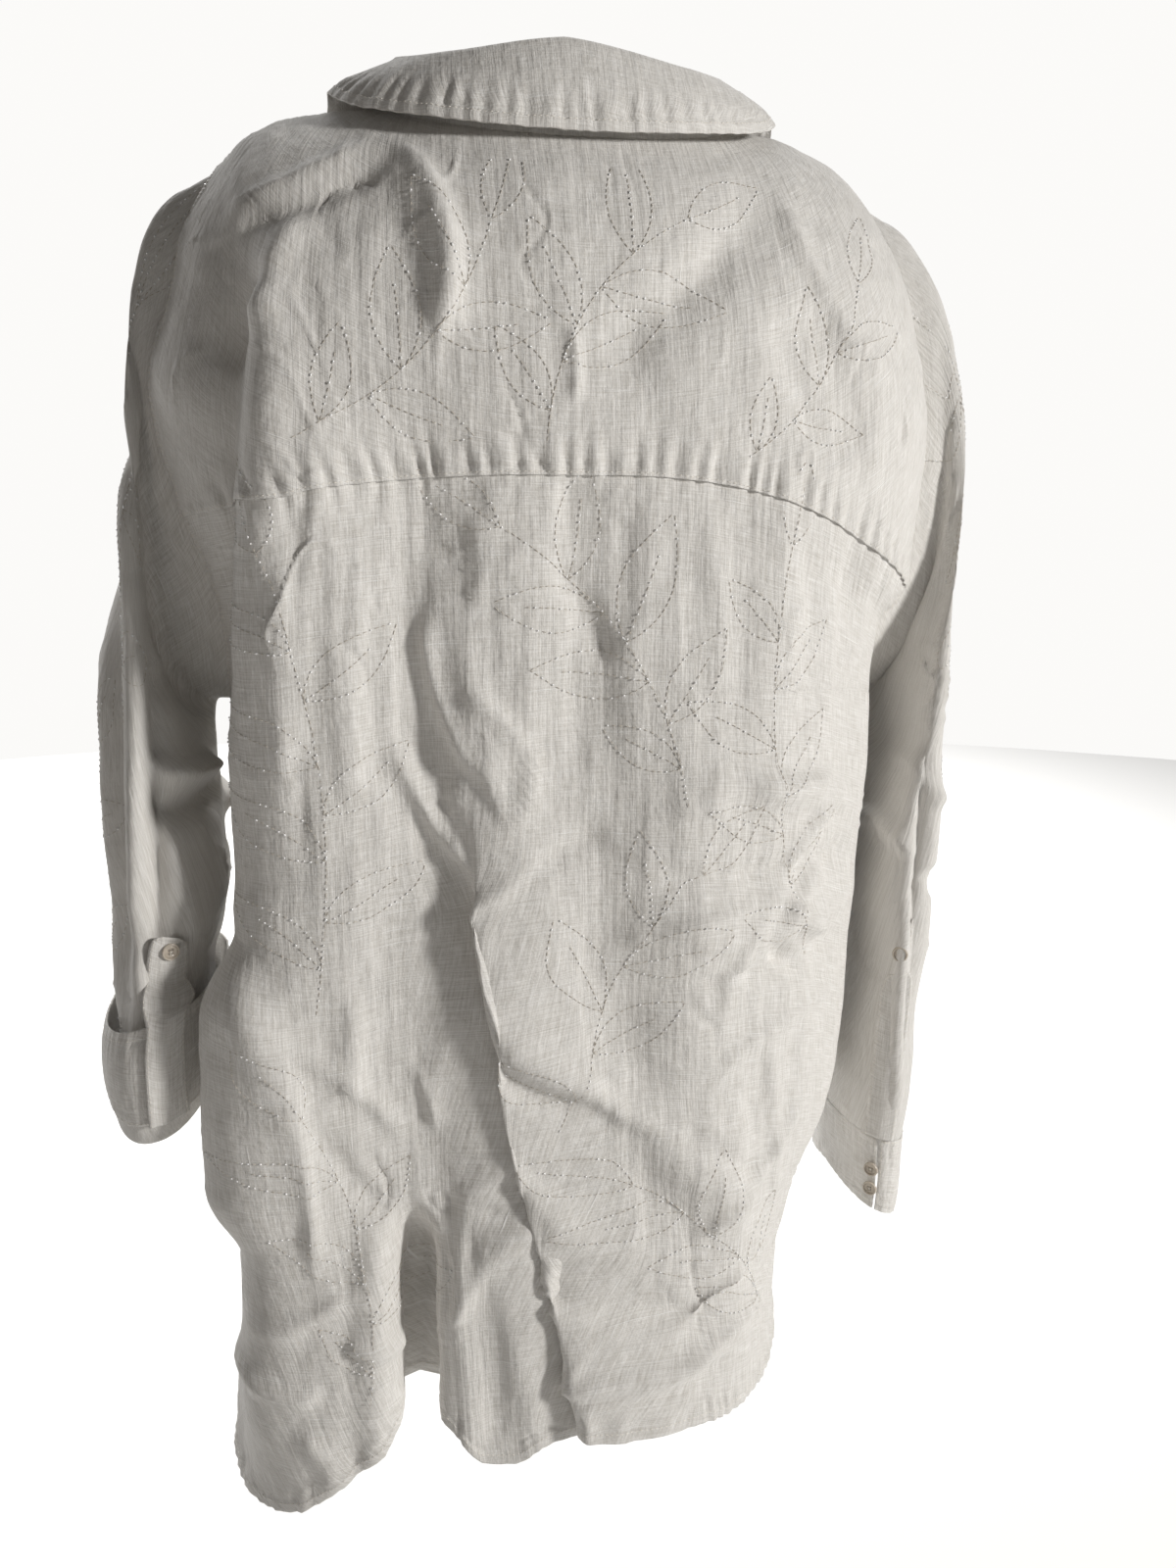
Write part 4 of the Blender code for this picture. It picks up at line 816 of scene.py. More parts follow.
def back_hem_ring(turn):
    """Ring of the back hem at a turn."""
    hem = Hem(*zip(*BACK_HEM))
    return ring_of(np.interp(level(turn, HEM_RING)[..., 0], hem.x, hem.z))


def yoke_turns(ring):
    """Turns across the yoke, in the same shares as along its seam."""
    seam = even_columns(YOKE_SEAM, back_end(YOKE_SEAM), 180.0 - back_end(YOKE_SEAM), YOKE_COLUMNS)
    share = (seam - seam[0]) / (seam[-1] - seam[0])
    return back_end(ring) + (180.0 - 2.0 * back_end(ring)) * share


def back_yoke(linen):
    """The yoke: its lower edge is drawn up in puckers and topstitched over the back."""
    rings = (YOKE_SEAM + YOKE_LAP) * spaced(YOKE_ROWS, 0.3, 0.8)
    turns = np.array([yoke_turns(float(ring)) for ring in rings])
    points = worn(turns, rings[:, None], YOKE_LIFT)
    normals = outward(points, BODY)
    points = drawn_up(points, normals, "last_row", YOKE_WAVE, depth=0.0046, reach=0.016)
    points = folded_edges(points, normals, ["last_row"], 0.004, waves=0.0)
    points = folded_edges(points, normals, ENDS, 0.0075)
    plain = level(turns, rings[:, None])
    cloth("yoke_cloth", points, ["back_yoke"], BODY, linen, weave=weave_run(plain))
    normals = outward(points, BODY)
    topstitch(points, normals, ["last_row"], EDGE_STITCH, cut=0.01)
    arm_top = int(np.searchsorted(rings, ARM_TOP))
    for edge in ENDS:
        topstitch(points[arm_top:], normals[arm_top:], [edge], *SEAM_STITCHES)
        topstitch(points[:arm_top], normals[:arm_top], [edge], 0.0014)


def back_panel(linen):
    """The back, from the yoke seam to its long, uneven hem."""
    turns, rings = [], []
    top = YOKE_SEAM - 0.02
    for ring in top + (SIDE_END - YOKE_SEAM + 0.02) * spaced(BACK_ROWS, 0.8):
        columns = back_columns(float(ring))
        turns.append(columns)
        rings.append(np.full(columns.shape, ring))
    for step in spaced(BACK_HEM_ROWS, 0.0, 0.7)[1:]:
        columns = back_columns(SIDE_END + (HEM_RING - SIDE_END) * float(step))
        turns.append(columns)
        rings.append(SIDE_END + (back_hem_ring(columns) - SIDE_END) * step)
    turns, rings = np.array(turns), np.array(rings)
    points = worn(turns, rings)
    normals = outward(points, BODY)
    points = drawn_up(points, normals, "first_row", YOKE_WAVE, depth=0.0030, reach=0.010)
    points = folded_edges(points, normals, ["last_row"], HEM, waves=0.0042)
    points = folded_edges(points, normals, ENDS, SEAM)
    plain = level(turns, rings)
    cloth("back_cloth", points, ["back_panel"], BODY, linen, CLOTH, weave_run(plain))
    normals = outward(points, BODY)
    topstitch(points, normals, ["last_row"], HEM_STITCH, cut=0.005)
    arm_end = int(np.searchsorted(rings[:, 0], ARM_PIT))
    for edge in ENDS:
        topstitch(points[:arm_end], normals[:arm_end], [edge], *SEAM_STITCHES)
        topstitch(points[arm_end:], normals[arm_end:], [edge], 0.0060)


def band_offset(ring):
    """How far the middle of a front band stands aside at a ring."""
    return NECK_OPEN * np.maximum(0.0, 1.0 - np.asarray(ring) / FIRST_BUTTON) ** 1.2


def front_hem_ring(part):
    """Ring of the front hem, part 0 at the side and 1 at the middle."""
    reach = FRONT_HEM - SLIT_TOP - 0.55
    return SLIT_TOP + 0.55 + reach * np.sin(np.minimum(1.0, part * 1.6) * math.pi / 2)


def front_columns(ring, side, share):
    """Turns across a front, from its side to its band."""
    start = front_end(ring)
    start = start if side > 0 else -180.0 - start
    seam = float(front_turn(side * (band_offset(ring) + BAND_WIDTH / 2), ring))
    return start + (seam - start) * share


def front_panel(name, node, side, out, linen):
    """A front, from the shoulder and armhole to its band and its rounded hem."""
    share = spaced(FRONT_COLUMNS, 0.6, 0.6)
    turns, rings = [], []
    for ring in SIDE_END * np.linspace(0.0, 1.0, FRONT_ROWS):
        turns.append(front_columns(float(ring), side, share))
        rings.append(np.full(share.shape, ring))
    for step in spaced(FRONT_HEM_ROWS, 0.0, 0.7)[1:]:
        turns.append(front_columns(SIDE_END + (FRONT_HEM - SIDE_END) * float(step), side, share))
        rings.append(SIDE_END + (front_hem_ring(share) - SIDE_END) * step)
    turns, rings = np.array(turns), np.array(rings)
    turns = np.concatenate([turns[:, :1] + side * 0.5, turns], 1)
    rings = np.concatenate([rings[:, :1], rings], 1)
    points = worn(turns, rings)
    normals = outward(points, BODY)
    points[:, 0] -= normals[:, 0] * 0.0014
    points = points + normals * (out * (1.0 - smooth(edge_gap(points, "last_col") / 0.012)))[..., None]
    points = folded_edges(points, normals, ["first_col"], 0.0085)
    points = folded_edges(points, normals, ["last_row"], HEM, waves=0.0026)
    grain = weave_run(level(turns, rings), True)
    cloth(name, points, [node], BODY, linen, CLOTH, grain)
    normals = outward(points, BODY)
    topstitch(points, normals, ["last_row"], HEM_STITCH, cut=0.01)
    shown = slice(*(int(np.searchsorted(rings[:, 0], ring)) for ring in (ARM_TOP, ARM_PIT)))
    topstitch(points[shown], normals[shown], ["first_col"], 0.0030, 0.0088)


def front_band(name, node, side, out, linen):
    """The band that carries the buttons or the buttonholes."""
    share = spaced(BAND_COLUMNS, 0.5, 0.5)
    upper = SIDE_END * np.linspace(0.0, 1.0, FRONT_ROWS)
    rings = np.concatenate([upper, np.linspace(SIDE_END, FRONT_HEM, BAND_HEM_ROWS)[1:]])
    offset = band_offset(rings)[:, None] + (0.5 - share) * BAND_WIDTH
    turns = front_turn(side * offset, rings[:, None])
    points = worn(turns, rings[:, None], out)
    normals = outward(points, BODY)
    points = folded_edges(points, normals, ENDS, 0.0050, height=0.0004)
    cloth(name, points, [node], BODY, linen, thick=WALL)
    topstitch(points, outward(points, BODY), ENDS, 0.0022)


# ---------------------------------------------------------------- sleeves
SEAM_SWING = float(arm_swing(YOKE_SEAM))
ARM = {1: (0.245, -0.090), -1: (-0.240, -0.094)}         # x and y of each arm's middle


def arm_places(sections, where, swing, side):
    """Points round a sleeve, swing 0 on its outer side, 90 at its back, 180 at the underarm."""
    where, swing = np.broadcast_arrays(np.asarray(where, float), np.asarray(swing, float))
    row = np.moveaxis(along(sections, where), -1, 0)
    outer_x, outer_z, inner_x, inner_z, mid_y, half_y, bulge, sag = row
    round_x, round_y = power(np.cos(np.radians(swing)), 0.92), power(np.sin(np.radians(swing)), 0.92)
    x = (outer_x + inner_x) / 2 + round_x * (outer_x - inner_x) / 2 + bulge * np.abs(round_y)
    y = mid_y + round_y * half_y
    z = (outer_z + inner_z) / 2 + round_x * (outer_z - inner_z) / 2 - sag * np.abs(round_y)
    return np.stack([x * side, y, z], -1)


def arm_edge(swing, side, inward, lift):
    """Places along the armhole; inward moves them under the body's edge, in millimetres."""
    turn, ring = arm_turn(swing, side)
    turn = turn + side * 0.28 * inward * np.sin(np.radians(swing))
    ring = ring - 0.03 * inward * np.cos(np.radians(swing))
    return worn(turn, ring, lift)


def sleeve(name, node, side, sections, turn_up, folds, linen):
    """A sleeve from its armhole down, and up again where it is turned up."""
    swing = 180.0 + 360.0 * np.linspace(0.0, 1.0, SLEEVE_COLUMNS)
    swing = np.where(swing >= 360.0, swing - 360.0, swing)
    swing[-1] = 180.0
    table = [arm_edge(swing, side, 2.5, -0.0010), arm_edge(swing, side, 0.0, -0.0003)]
    rings = list(sections) + list(turn_up)
    table += [arm_places(rings, spot, swing, side) for spot in range(len(rings))]
    last = len(table) - 1.0
    where = np.concatenate([[0.0, 0.5], 1.0 + (last - 1.0) * np.linspace(0.0, 1.0, SLEEVE_ROWS)])
    points = along(np.array(table).reshape(len(table), -1), where).reshape(len(where), len(swing), 3)
    plain = run_along(points, 1)
    plain = plain - plain[:, [len(swing) // 2]], run_along(points, 0)
    normals = outward(points, ARM[side])
    normals[:, -1] = normals[:, 0] = unit(normals[:, -1] + normals[:, 0])
    shown = smooth(np.sin(np.radians(swing)) / 0.3)
    hidden = smooth(-np.sin(np.radians(swing)) / 0.3)
    x, z = np.abs(points[..., 0]), points[..., 2]
    height = 1.35 * shown * fold_height(folds, x, z)
    height = height + 1.1 * hidden * fold_height(folds, x + 0.004, z + 0.030)
    calm = smooth((where - 1.2) / 1.6)[:, None]
    if turn_up:
        calm = calm * (1.0 - smooth((where - len(sections) + 1.0) / 1.5))[:, None]
    points = points + normals * (calm * (height + crumple(points)))[..., None]
    below = smooth((where - 1.0) / 0.5)[:, None]
    points = drawn_up(points, normals, "first_row", 0.0120, depth=0.0020, reach=0.014, share=below)
    cloth(name, points, [node], ARM[side], linen, CLOTH, plain)
    return points, outward(points, ARM[side])


def cuff(name, node, side, sections, out, linen):
    """A doubled cuff, open at its slit, topstitched all round."""
    start, end = SEAM_SWING + CUFF_SLIT_HALF, SEAM_SWING + 360.0 - CUFF_SLIT_HALF
    swing = start + (end - start) * spaced(CUFF_COLUMNS, 0.5, 0.5)
    where = (len(sections) - 1.0) * spaced(CUFF_ROWS, 0.5, 0.5)[:, None]
    plain = arm_places(sections, where, np.mod(swing, 360.0), side)
    normals = outward(plain, ARM[side])
    points = plain + normals * (out + crumple(plain, depth=0.0008, size=0.040))[..., None]
    points = folded_edges(points, normals, ALL_ROUND, 0.0060, height=0.0004)
    cloth(name, points, [node], ARM[side], linen, thick=WALL)
    normals = outward(points, ARM[side])
    for edge in ALL_ROUND:
        topstitch(points, normals, [edge], 0.0055 if edge == "last_row" else EDGE_STITCH, cut=0.01)


def tube_place(sections, where, swing, side, out=0.0):
    """A point on a sleeve, moved out, and the normal there, away from the arm."""
    place = arm_places(sections, where, swing, side)
    around = arm_places(sections, where, swing + 1.0, side) - arm_places(sections, where, swing - 1.0, side)
    down = arm_places(sections, where + 0.05, swing, side) - arm_places(sections, where - 0.05, swing, side)
    normal = unit(np.cross(around, down))
    middle = (arm_places(sections, where, 0.0, side) + arm_places(sections, where, 180.0, side)) / 2
    normal = normal * np.sign(np.dot(normal, place - middle))
    return place + normal * out, normal


def strip(name, node, side, places, width, linen, lift=0.0):
    """A narrow strip along a sleeve: a tab or a placket, topstitched near its edges."""
    rows = []
    for sections, where, out, share in places:
        near, _ = tube_place(sections, where, SEAM_SWING - 5.0, side)
        far, _ = tube_place(sections, where, SEAM_SWING + 5.0, side)
        reach = share * width / 2 / float(np.linalg.norm(far - near)) * 10.0
        swings = SEAM_SWING + np.linspace(-1.0, 1.0, STRIP_COLUMNS) * reach
        rows.append([tube_place(sections, where, swing, side, out + lift)[0] for swing in swings])
    table = np.array(rows).reshape(len(rows), -1)
    where = (len(rows) - 1.0) * np.linspace(0.0, 1.0, STRIP_ROWS)
    points = along(table, where).reshape(STRIP_ROWS, STRIP_COLUMNS, 3)
    normals = outward(points, ARM[side])
    points = points + normals * crumple(points, depth=0.0005, size=0.025)[..., None]
    points = folded_edges(points, normals, (*ENDS, "first_row"), 0.0035, height=0.0003, waves=0.0007)
    cloth(name, points, [node], ARM[side], linen, thick=WALL)
    topstitch(points, outward(points, ARM[side]), ENDS, EDGE_STITCH)


# Where the buttons of the sleeves lie: section, place round the sleeve, gap, and
# 1 to face outwards. The left cuff is turned inside out, so its buttons face in.
SleeveButton = namedtuple("SleeveButton", "node sections side where swing gap facing")
SLEEVE_BUTTONS = [
    SleeveButton("button_tab_left", SLEEVE_LEFT, 1, 8.25, SEAM_SWING, LAID, 1),
    SleeveButton("button_tab_right", SLEEVE_RIGHT, -1, 8.6, SEAM_SWING, 0.0, 1),
    SleeveButton("button_cuff_right_1", CUFF_RIGHT, -1, 1.2, 112.0, 0.0, 1),
    SleeveButton("button_cuff_right_2", CUFF_RIGHT, -1, 2.0, 112.0, 0.0, 1),
    SleeveButton("button_cuff_left_1", CUFF_LEFT, 1, 1.2, 70.0, 0.0, -1),
    SleeveButton("button_cuff_left_2", CUFF_LEFT, 1, 2.2, 70.0, 0.0, -1),
]

# The way of each tab and placket along its sleeve: section, how far out it
# lies, and its share of the full width there.
Station = namedtuple("Station", "sections where out share")
TAB_LEFT = [
    Station(SLEEVE_LEFT, 7.95, LAID, 0.45),
    Station(SLEEVE_LEFT, 8.10, LAID, 0.90),
    Station(SLEEVE_LEFT, 8.50, LAID, 1.0),
    Station(SLEEVE_LEFT, 8.95, LAID, 1.0),
    Station(SLEEVE_LEFT, 9.35, 0.009, 1.0),
    Station(CUFF_LEFT, 3.00, 2 * WALL + 2 * LIFT, 1.0),
    Station(CUFF_LEFT, 2.00, 2 * WALL + LIFT, 1.0),
    Station(CUFF_LEFT, 1.00, 2 * WALL + LIFT, 1.0),
    Station(CUFF_LEFT, 0.00, 2 * WALL + LIFT, 1.0),
]
TAB_RIGHT = [
    Station(SLEEVE_RIGHT, where, -LAID, share)
    for where, share in ((8.2, 1.0), (9.0, 1.0), (10.0, 1.0), (10.3, 0.9), (10.5, 0.45))
]
PLACKET_RIGHT = [
    Station(SLEEVE_RIGHT, where, LAID, share)
    for where, share in ((8.9, 0.3), (9.1, 1.0), (10.0, 1.0), (11.0, 1.0), (11.95, 1.0))
]
PLACKET_LEFT = [
    Station(SLEEVE_LEFT, where, LAID, share)
    for where, share in ((10.0, 0.3), (10.2, 1.0), (11.0, 1.0), (11.5, 1.0))
]


# ---------------------------------------------------------------- collar
def collar_frame(turns):
    """Neck seam points, outward directions and the collar's table rows."""
    base = torso(turns, np.zeros_like(turns))
    mirrored = np.where(turns > 90.0, 180.0 - turns, turns)
    spots = np.interp(mirrored, [row.turn for row in COLLAR], range(len(COLLAR)))
    ahead = level(turns + 1.0, np.zeros_like(turns)) - level(turns - 1.0, np.zeros_like(turns))
    out = unit(np.stack([ahead[:, 1], -ahead[:, 0], np.zeros_like(turns)], -1))
    return base, out, along(COLLAR, spots)


def collar_turns(inset=0.0):
    """Turns round the neck from the end of one band to the end of the other."""
    start = float(front_turn(band_offset(0.0) - BAND_WIDTH / 2, 0.0)) + inset
    return start + (180.0 - 2.0 * start) * spaced(COLLAR_COLUMNS, 0.3, 0.3)


def collar_stand(linen):
    """The band that stands round the neck."""
    turns = collar_turns()
    base, out, rows = collar_frame(turns)
    height, lean = rows[:, 1:2], rows[:, 2:3]
    points = []
    for part in spaced(STAND_ROWS, 0.5, 0.5):
        point = base + out * (lean * part + 0.0004)
        point[:, 2:3] += height * part - 0.0012 * (1.0 - part)
        points.append(point)
    points = np.array(points)
    normals = outward(points, BODY)
    points = points + normals * crumple(points, depth=0.0003, size=0.030)[..., None]
    points = folded_edges(points, normals, ["first_row"], 0.0030, height=0.0005)
    cloth("stand_cloth", points, ["collar_stand"], BODY, linen, thick=WALL)
    topstitch(points, outward(points, BODY), ["first_row"], 0.0016, cut=0.004)


def collar_fall(linen):
    """The turned-down collar, from the stand's top over to its outer edge."""
    turns = collar_turns(3.0)
    base, out, rows = collar_frame(turns)
    height, lean = rows[:, 1:2], rows[:, 2:3]
    up = np.array([0.0, 0.0, 1.0])
    top = base + out * lean + up * height
    edge = torso(turns, rows[:, 3]) + up * rows[:, 4:5] + out * rows[:, 5:6]
    roll = top + out * 0.0045 + up * 0.0010
    table = [top - out * WALL - up * 0.0040, top - out * WALL + up * 0.0010]
    table += [top + out * 0.0006 + up * 0.0035, roll]
    for part in (0.25, 0.5, 0.75, 1.0):
        table.append(roll + (edge - roll) * part + out * 0.004 * math.sin(part * math.pi))
    table = np.array(table)
    turned = 3.0 + 4.0 * spaced(FALL_ROWS, 0.0, 0.6)[1:]
    where = np.concatenate([np.linspace(0.0, 3.0, 11), turned])
    points = along(table.reshape(len(table), -1), where).reshape(len(where), len(turns), 3)
    normals = outward(points, BODY)
    rough = crumple(points, depth=0.0008, size=0.035) * smooth((where[:, None] - 2.0) / 2.0)
    points = points + normals * rough[..., None]
    gap = np.maximum(edge_gap(points, "last_row") - 0.004, 0.0)
    drawn = pucker(edge_run(points, "last_row"), gap, YOKE_WAVE, 0.0032, 0.014)
    points = points + normals * drawn[..., None]
    points = folded_edges(points, normals, ["last_row"], COLLAR_STITCH, waves=0.0)
    points = folded_edges(points, normals, ENDS, COLLAR_STITCH)
    cloth("collar_cloth", points, ["collar_fall"], BODY, linen, WALL)
    normals = outward(points, BODY)
    topstitch(points, normals, ["last_row"], COLLAR_STITCH, cut=0.012)
    flap = where > 3.0
    topstitch(points[flap], normals[flap], ENDS, COLLAR_STITCH, cut=0.05)


# ---------------------------------------------------------------- sewing
def read_line(run, values, spots):
    """Places or normals at spots along a line, run metres from its start."""
    return np.stack([np.interp(spots, run, values[:, axis]) for axis in range(3)], -1)


def stitch_places(line, up, pitch):
    """Middles, directions and normals of stitches spaced evenly along a line."""
    steps = np.linalg.norm(np.diff(line, axis=0), axis=1)
    run = np.concatenate([[0.0], np.cumsum(steps)])
    spots = np.arange(pitch / 2, run[-1] - pitch / 4, pitch)
    ahead = read_line(run, line, spots + pitch * 0.4)
    behind = read_line(run, line, spots - pitch * 0.4)
    return read_line(run, line, spots), unit(ahead - behind), unit(read_line(run, up, spots))


def joined(rows):
    """One array of each kind, from many rows of places, directions and normals."""
    return [np.concatenate(values) for values in zip(*rows)]


def sew(name, middles, heads, ups, long, thick, finish):
    """One joined mesh of stitches: rounded grains of thread, each turned to its own direction."""
    bm = bmesh.new()
    bmesh.ops.create_icosphere(bm, subdivisions=1, radius=0.5)
    grain = np.array([vert.co[:] for vert in bm.verts])
    corners = np.array([[vert.index for vert in face.verts] for face in bm.faces])
    bm.free()
    asides = unit(np.cross(ups, heads))
    ups = np.cross(heads, asides)
    length = heads[:, None] * (grain[None, :, :1] * np.reshape(long, (-1, 1, 1)))
    width = asides[:, None] * grain[None, :, 1:2] * thick
    height = ups[:, None] * grain[None, :, 2:3] * thick * 0.8
    spots = middles[:, None] + ups[:, None] * thick * 0.15 + length + width + height
    faces = corners[None] + np.arange(len(middles))[:, None, None] * len(grain)
    mesh = bpy.data.meshes.new(name)
    mesh.from_pydata(spots.reshape(-1, 3).tolist(), [], faces.reshape(-1, 3).tolist())
    add_piece(name, mesh, finish)


def topstitching(finish):
    """All the rows of topstitching that the pieces have asked for."""
    sewn = joined([stitch_places(line, up, STITCH_PITCH) for line, up in THREADS])
    sew("topstitching", *sewn, STITCH_LONG, THREAD, finish)


def buttonholes(finish):
    """Close bars of thread on both sides of each slit in the front band."""
    rows = []
    for ring in button_rings():
        for aside in (-BAR_ASIDE, BAR_ASIDE):
            heights = level_size(ring, "front_z") + np.linspace(-BUTTONHOLE_HALF, BUTTONHOLE_HALF, BARS)
            spots = ring_of(heights, "front_z")
            turns = front_turn(aside, spots)
            across = np.tile([1.0, 0.0, 0.0], (BARS, 1))
            rows.append((worn(turns, spots, LAID + 0.0004), across, torso_normal(turns, spots)))
    sew("buttonhole_stitches", *joined(rows), BAR_LONG, BAR_THREAD, finish)


# ---------------------------------------------------------------- embroidery
def leaf(base, angle, long, wide):
    """Outline and midrib of a leaf, in x and z."""
    part = np.linspace(0.0, 1.0, 24)
    bulge = wide * np.sin(math.pi * part**0.85)
    lines = [np.stack([part * long, bulge], -1), np.stack([part * long, -bulge], -1)]
    lines.append(np.stack([part * long * 0.72, 0.06 * wide * np.sin(3.0 * part)], -1))
    cos, sin = math.cos(angle), math.sin(angle)
    turned = np.array([[cos, sin], [-sin, cos]])
    return [line @ turned + base for line in lines]


def spray_lines(spray, rough):
    """The lines of a spray: a bowed stem with leaves to either side and one at its tip."""
    start, end = np.array([spray.x1, spray.z1]), np.array([spray.x2, spray.z2])
    run = end - start
    aside = np.array([-run[1], run[0]]) / np.linalg.norm(run)
    part = np.linspace(0.0, 1.0, 30)[:, None]
    stem = start + run * part + aside * spray.bow * 4.0 * part * (1.0 - part)
    lines = [stem]
    for count in range(spray.leaves):
        share = 0.12 + 0.80 * count / spray.leaves
        spot = int(share * (len(stem) - 1))
        head = stem[spot + 1] - stem[spot]
        angle = math.atan2(head[1], head[0])
        lean = (0.75 + 0.25 * rough.random()) * (1 if count % 2 else -1)
        long = spray.long * (0.70 + 0.30 * math.sin(math.pi * share)) * (0.9 + 0.2 * rough.random())
        lines += leaf(stem[spot], angle + lean, long, long * 0.20)
    head = stem[-1] - stem[-2]
    lines += leaf(stem[-1], math.atan2(head[1], head[0]), spray.long * 0.8, spray.long * 0.17)
    return lines


def back_spots(line):
    """Turn and ring of places on the back that are given by x and z."""
    x, z = line[:, 0], line[:, 1]
    ring = ring_of(z)
    for _ in range(14):
        turn = turn_of(np.clip(x, -0.190, 0.190), ring)
        ring = np.clip(ring + (level(turn, ring)[..., 2] - z) / 0.075, 0.2, 18.0)
    return turn_of(x, ring), ring


def on_back(line):
    """The stretches of a line that lie on the back, none of it over the neck."""
    turn, ring = back_spots(line)
    off = (ring < 0.7) | (np.abs(level(turn, ring)[..., 2] - line[:, 1]) > 0.003)
    runs = [run[~off[run]] for run in np.split(np.arange(len(line)), np.flatnonzero(off))]
    return [(turn[run], ring[run]) for run in runs if len(run) > 3]


def sprays_on_back(rough):
    """Places and normals along the lines of the back's sprays."""
    lines = [line for spray in BACK_SPRAYS for line in spray_lines(spray, rough)]
    rows = []
    for turn, ring in [part for line in lines for part in on_back(line)]:
        lift = ON_CLOTH + np.where(ring < YOKE_SEAM, YOKE_LIFT, 0.0)
        rows.append((worn(turn, ring, lift), torso_normal(turn, ring)))
    return rows


def sprays_on_fronts(rough):
    """Places and normals along the lines of the fronts' sprays."""
    rows = []
    for line in [line for spray in FRONT_SPRAYS for line in spray_lines(spray, rough)]:
        ring = ring_of(line[:, 1], "front_z")
        turn = front_turn(line[:, 0], ring)
        rows.append((worn(turn, ring, ON_CLOTH), torso_normal(turn, ring)))
    return rows


def sprays_on_arm(points, normals, rough):
    """Places and normals along the lines of a sleeve's sprays, read from its cloth."""
    behind = points[:, 3 * points.shape[1] // 4, 2]
    heights = -behind[:np.argmin(behind)]
    rows = []
    for line in [line for spray in ARM_SPRAYS for line in spray_lines(spray, rough)]:
        swing = ARM_SPRAY_SWING + np.degrees(line[:, 0] / ARM_RADIUS)
        column = np.mod(swing - 180.0, 360.0) / 360.0 * (points.shape[1] - 1)
        row = np.interp(-line[:, 1], heights, np.arange(len(heights)))
        rows.append((on_grid(points, row, column), on_grid(normals, row, column)))
    return rows


def embroidery(arms, thread, metal):
    """Sprays of leaves in running stitch, with some stitches in a bright thread."""
    rough = random.Random(11)
    rows = sprays_on_back(rough) + sprays_on_fronts(rough)
    for points, normals in arms:
        rows += sprays_on_arm(points, normals, rough)
    sewn = joined([stitch_places(line, up, EMBROIDERY_PITCH) for line, up in rows])
    bright = np.array([rough.random() < BRIGHT_SHARE for _ in sewn[0]])
    sew("embroidery", *(values[~bright] for values in sewn), EMBROIDERY_LONG, THREAD, thread)
    short = np.array([0.0012 + 0.0010 * rough.random() for _ in sewn[0][bright]])
    sew("embroidery_glitter", *(values[bright] for values in sewn), short, BRIGHT_THREAD, metal)


def on_grid(values, row, column):
    """Read a grid at fractional rows and columns."""
    low_row = np.minimum(row.astype(int), values.shape[0] - 2)
    low_column = np.minimum(column.astype(int), values.shape[1] - 2)
    down, across = (row - low_row)[:, None], (column - low_column)[:, None]
    above = values[low_row, low_column] * (1 - across) + values[low_row, low_column + 1] * across
    below = values[low_row + 1, low_column] * (1 - across) + values[low_row + 1, low_column + 1] * across
    return above * (1 - down) + below * down


# ---------------------------------------------------------------- buttons
def button_rings():
    """Rings of the fastened front buttons."""
    first = float(level_size(FIRST_BUTTON, "front_z"))
    return [float(ring_of(first - BUTTON_PITCH * count, "front_z")) for count in range(BUTTON_COUNT)]


def button_mesh():
    """A four-hole shirt button lying on its back: a pierced plate in a rounded rim."""
    bm = bmesh.new()
    bmesh.ops.create_circle(bm, segments=40, radius=BUTTON_RADIUS - RIM_IN)
    for turn in range(4):
        spot = Matrix.Rotation(math.radians(45.0 + 90.0 * turn), 4, "Z") @ Vector((HOLE_OUT, 0.0, 0.0))
        bmesh.ops.create_circle(bm, segments=12, radius=HOLE_RADIUS, matrix=Matrix.Translation(spot))
    bmesh.ops.triangle_fill(bm, use_beauty=True, use_dissolve=False, edges=bm.edges[:])
    grown = bmesh.ops.extrude_face_region(bm, geom=bm.faces[:], use_keep_orig=True)
    lifted = [part for part in grown["geom"] if isinstance(part, bmesh.types.BMVert)]
    bmesh.ops.translate(bm, vec=(0.0, 0.0, BUTTON_HEIGHT * PLATE_SHARE), verts=lifted)
    rim = bmesh.ops.create_circle(bm, segments=10, radius=BUTTON_HEIGHT / 2)["verts"]
    stretch = Matrix.Diagonal((RIM_WIDTH, 1.0, 1.0, 1.0))
    stand = Matrix.Rotation(math.radians(90.0), 4, "X")
    middle = BUTTON_RADIUS - BUTTON_HEIGHT * RIM_WIDTH / 2
    place = Matrix.Translation((middle, 0.0, BUTTON_HEIGHT / 2))
    bmesh.ops.transform(bm, matrix=place @ stand @ stretch, verts=rim)
    loop = rim + [edge for edge in bm.edges if edge.verts[0] in rim]
    bmesh.ops.spin(bm, geom=loop, cent=(0.0, 0.0, 0.0), axis=(0.0, 0.0, 1.0), dvec=(0.0, 0.0, 0.0),
                   angle=2.0 * math.pi, steps=40, use_merge=True)
    bmesh.ops.recalc_face_normals(bm, faces=bm.faces[:])
    return bm


def add_button(node, place, normal, gap, shell, stitched):
    """A button in the place of its plain solid, sewn on with crossed thread."""
    bm = button_mesh()
    lie = Vector(normal).to_track_quat("Z", "Y").to_matrix().to_4x4()
    spot = Vector(place) + Vector(normal) * gap
    bmesh.ops.transform(bm, matrix=Matrix.Translation(spot) @ lie, verts=bm.verts[:])
    add_object(node.replace("button_", "shell_button_"), bm, shell, [node])
    top = spot + Vector(normal) * (BUTTON_HEIGHT * PLATE_SHARE + 0.0001)
    for turn in (45.0, 135.0):
        head = lie.to_3x3() @ Vector((math.cos(math.radians(turn)), math.sin(math.radians(turn)), 0.0))
        stitched.append((top[:], head[:], tuple(normal)))


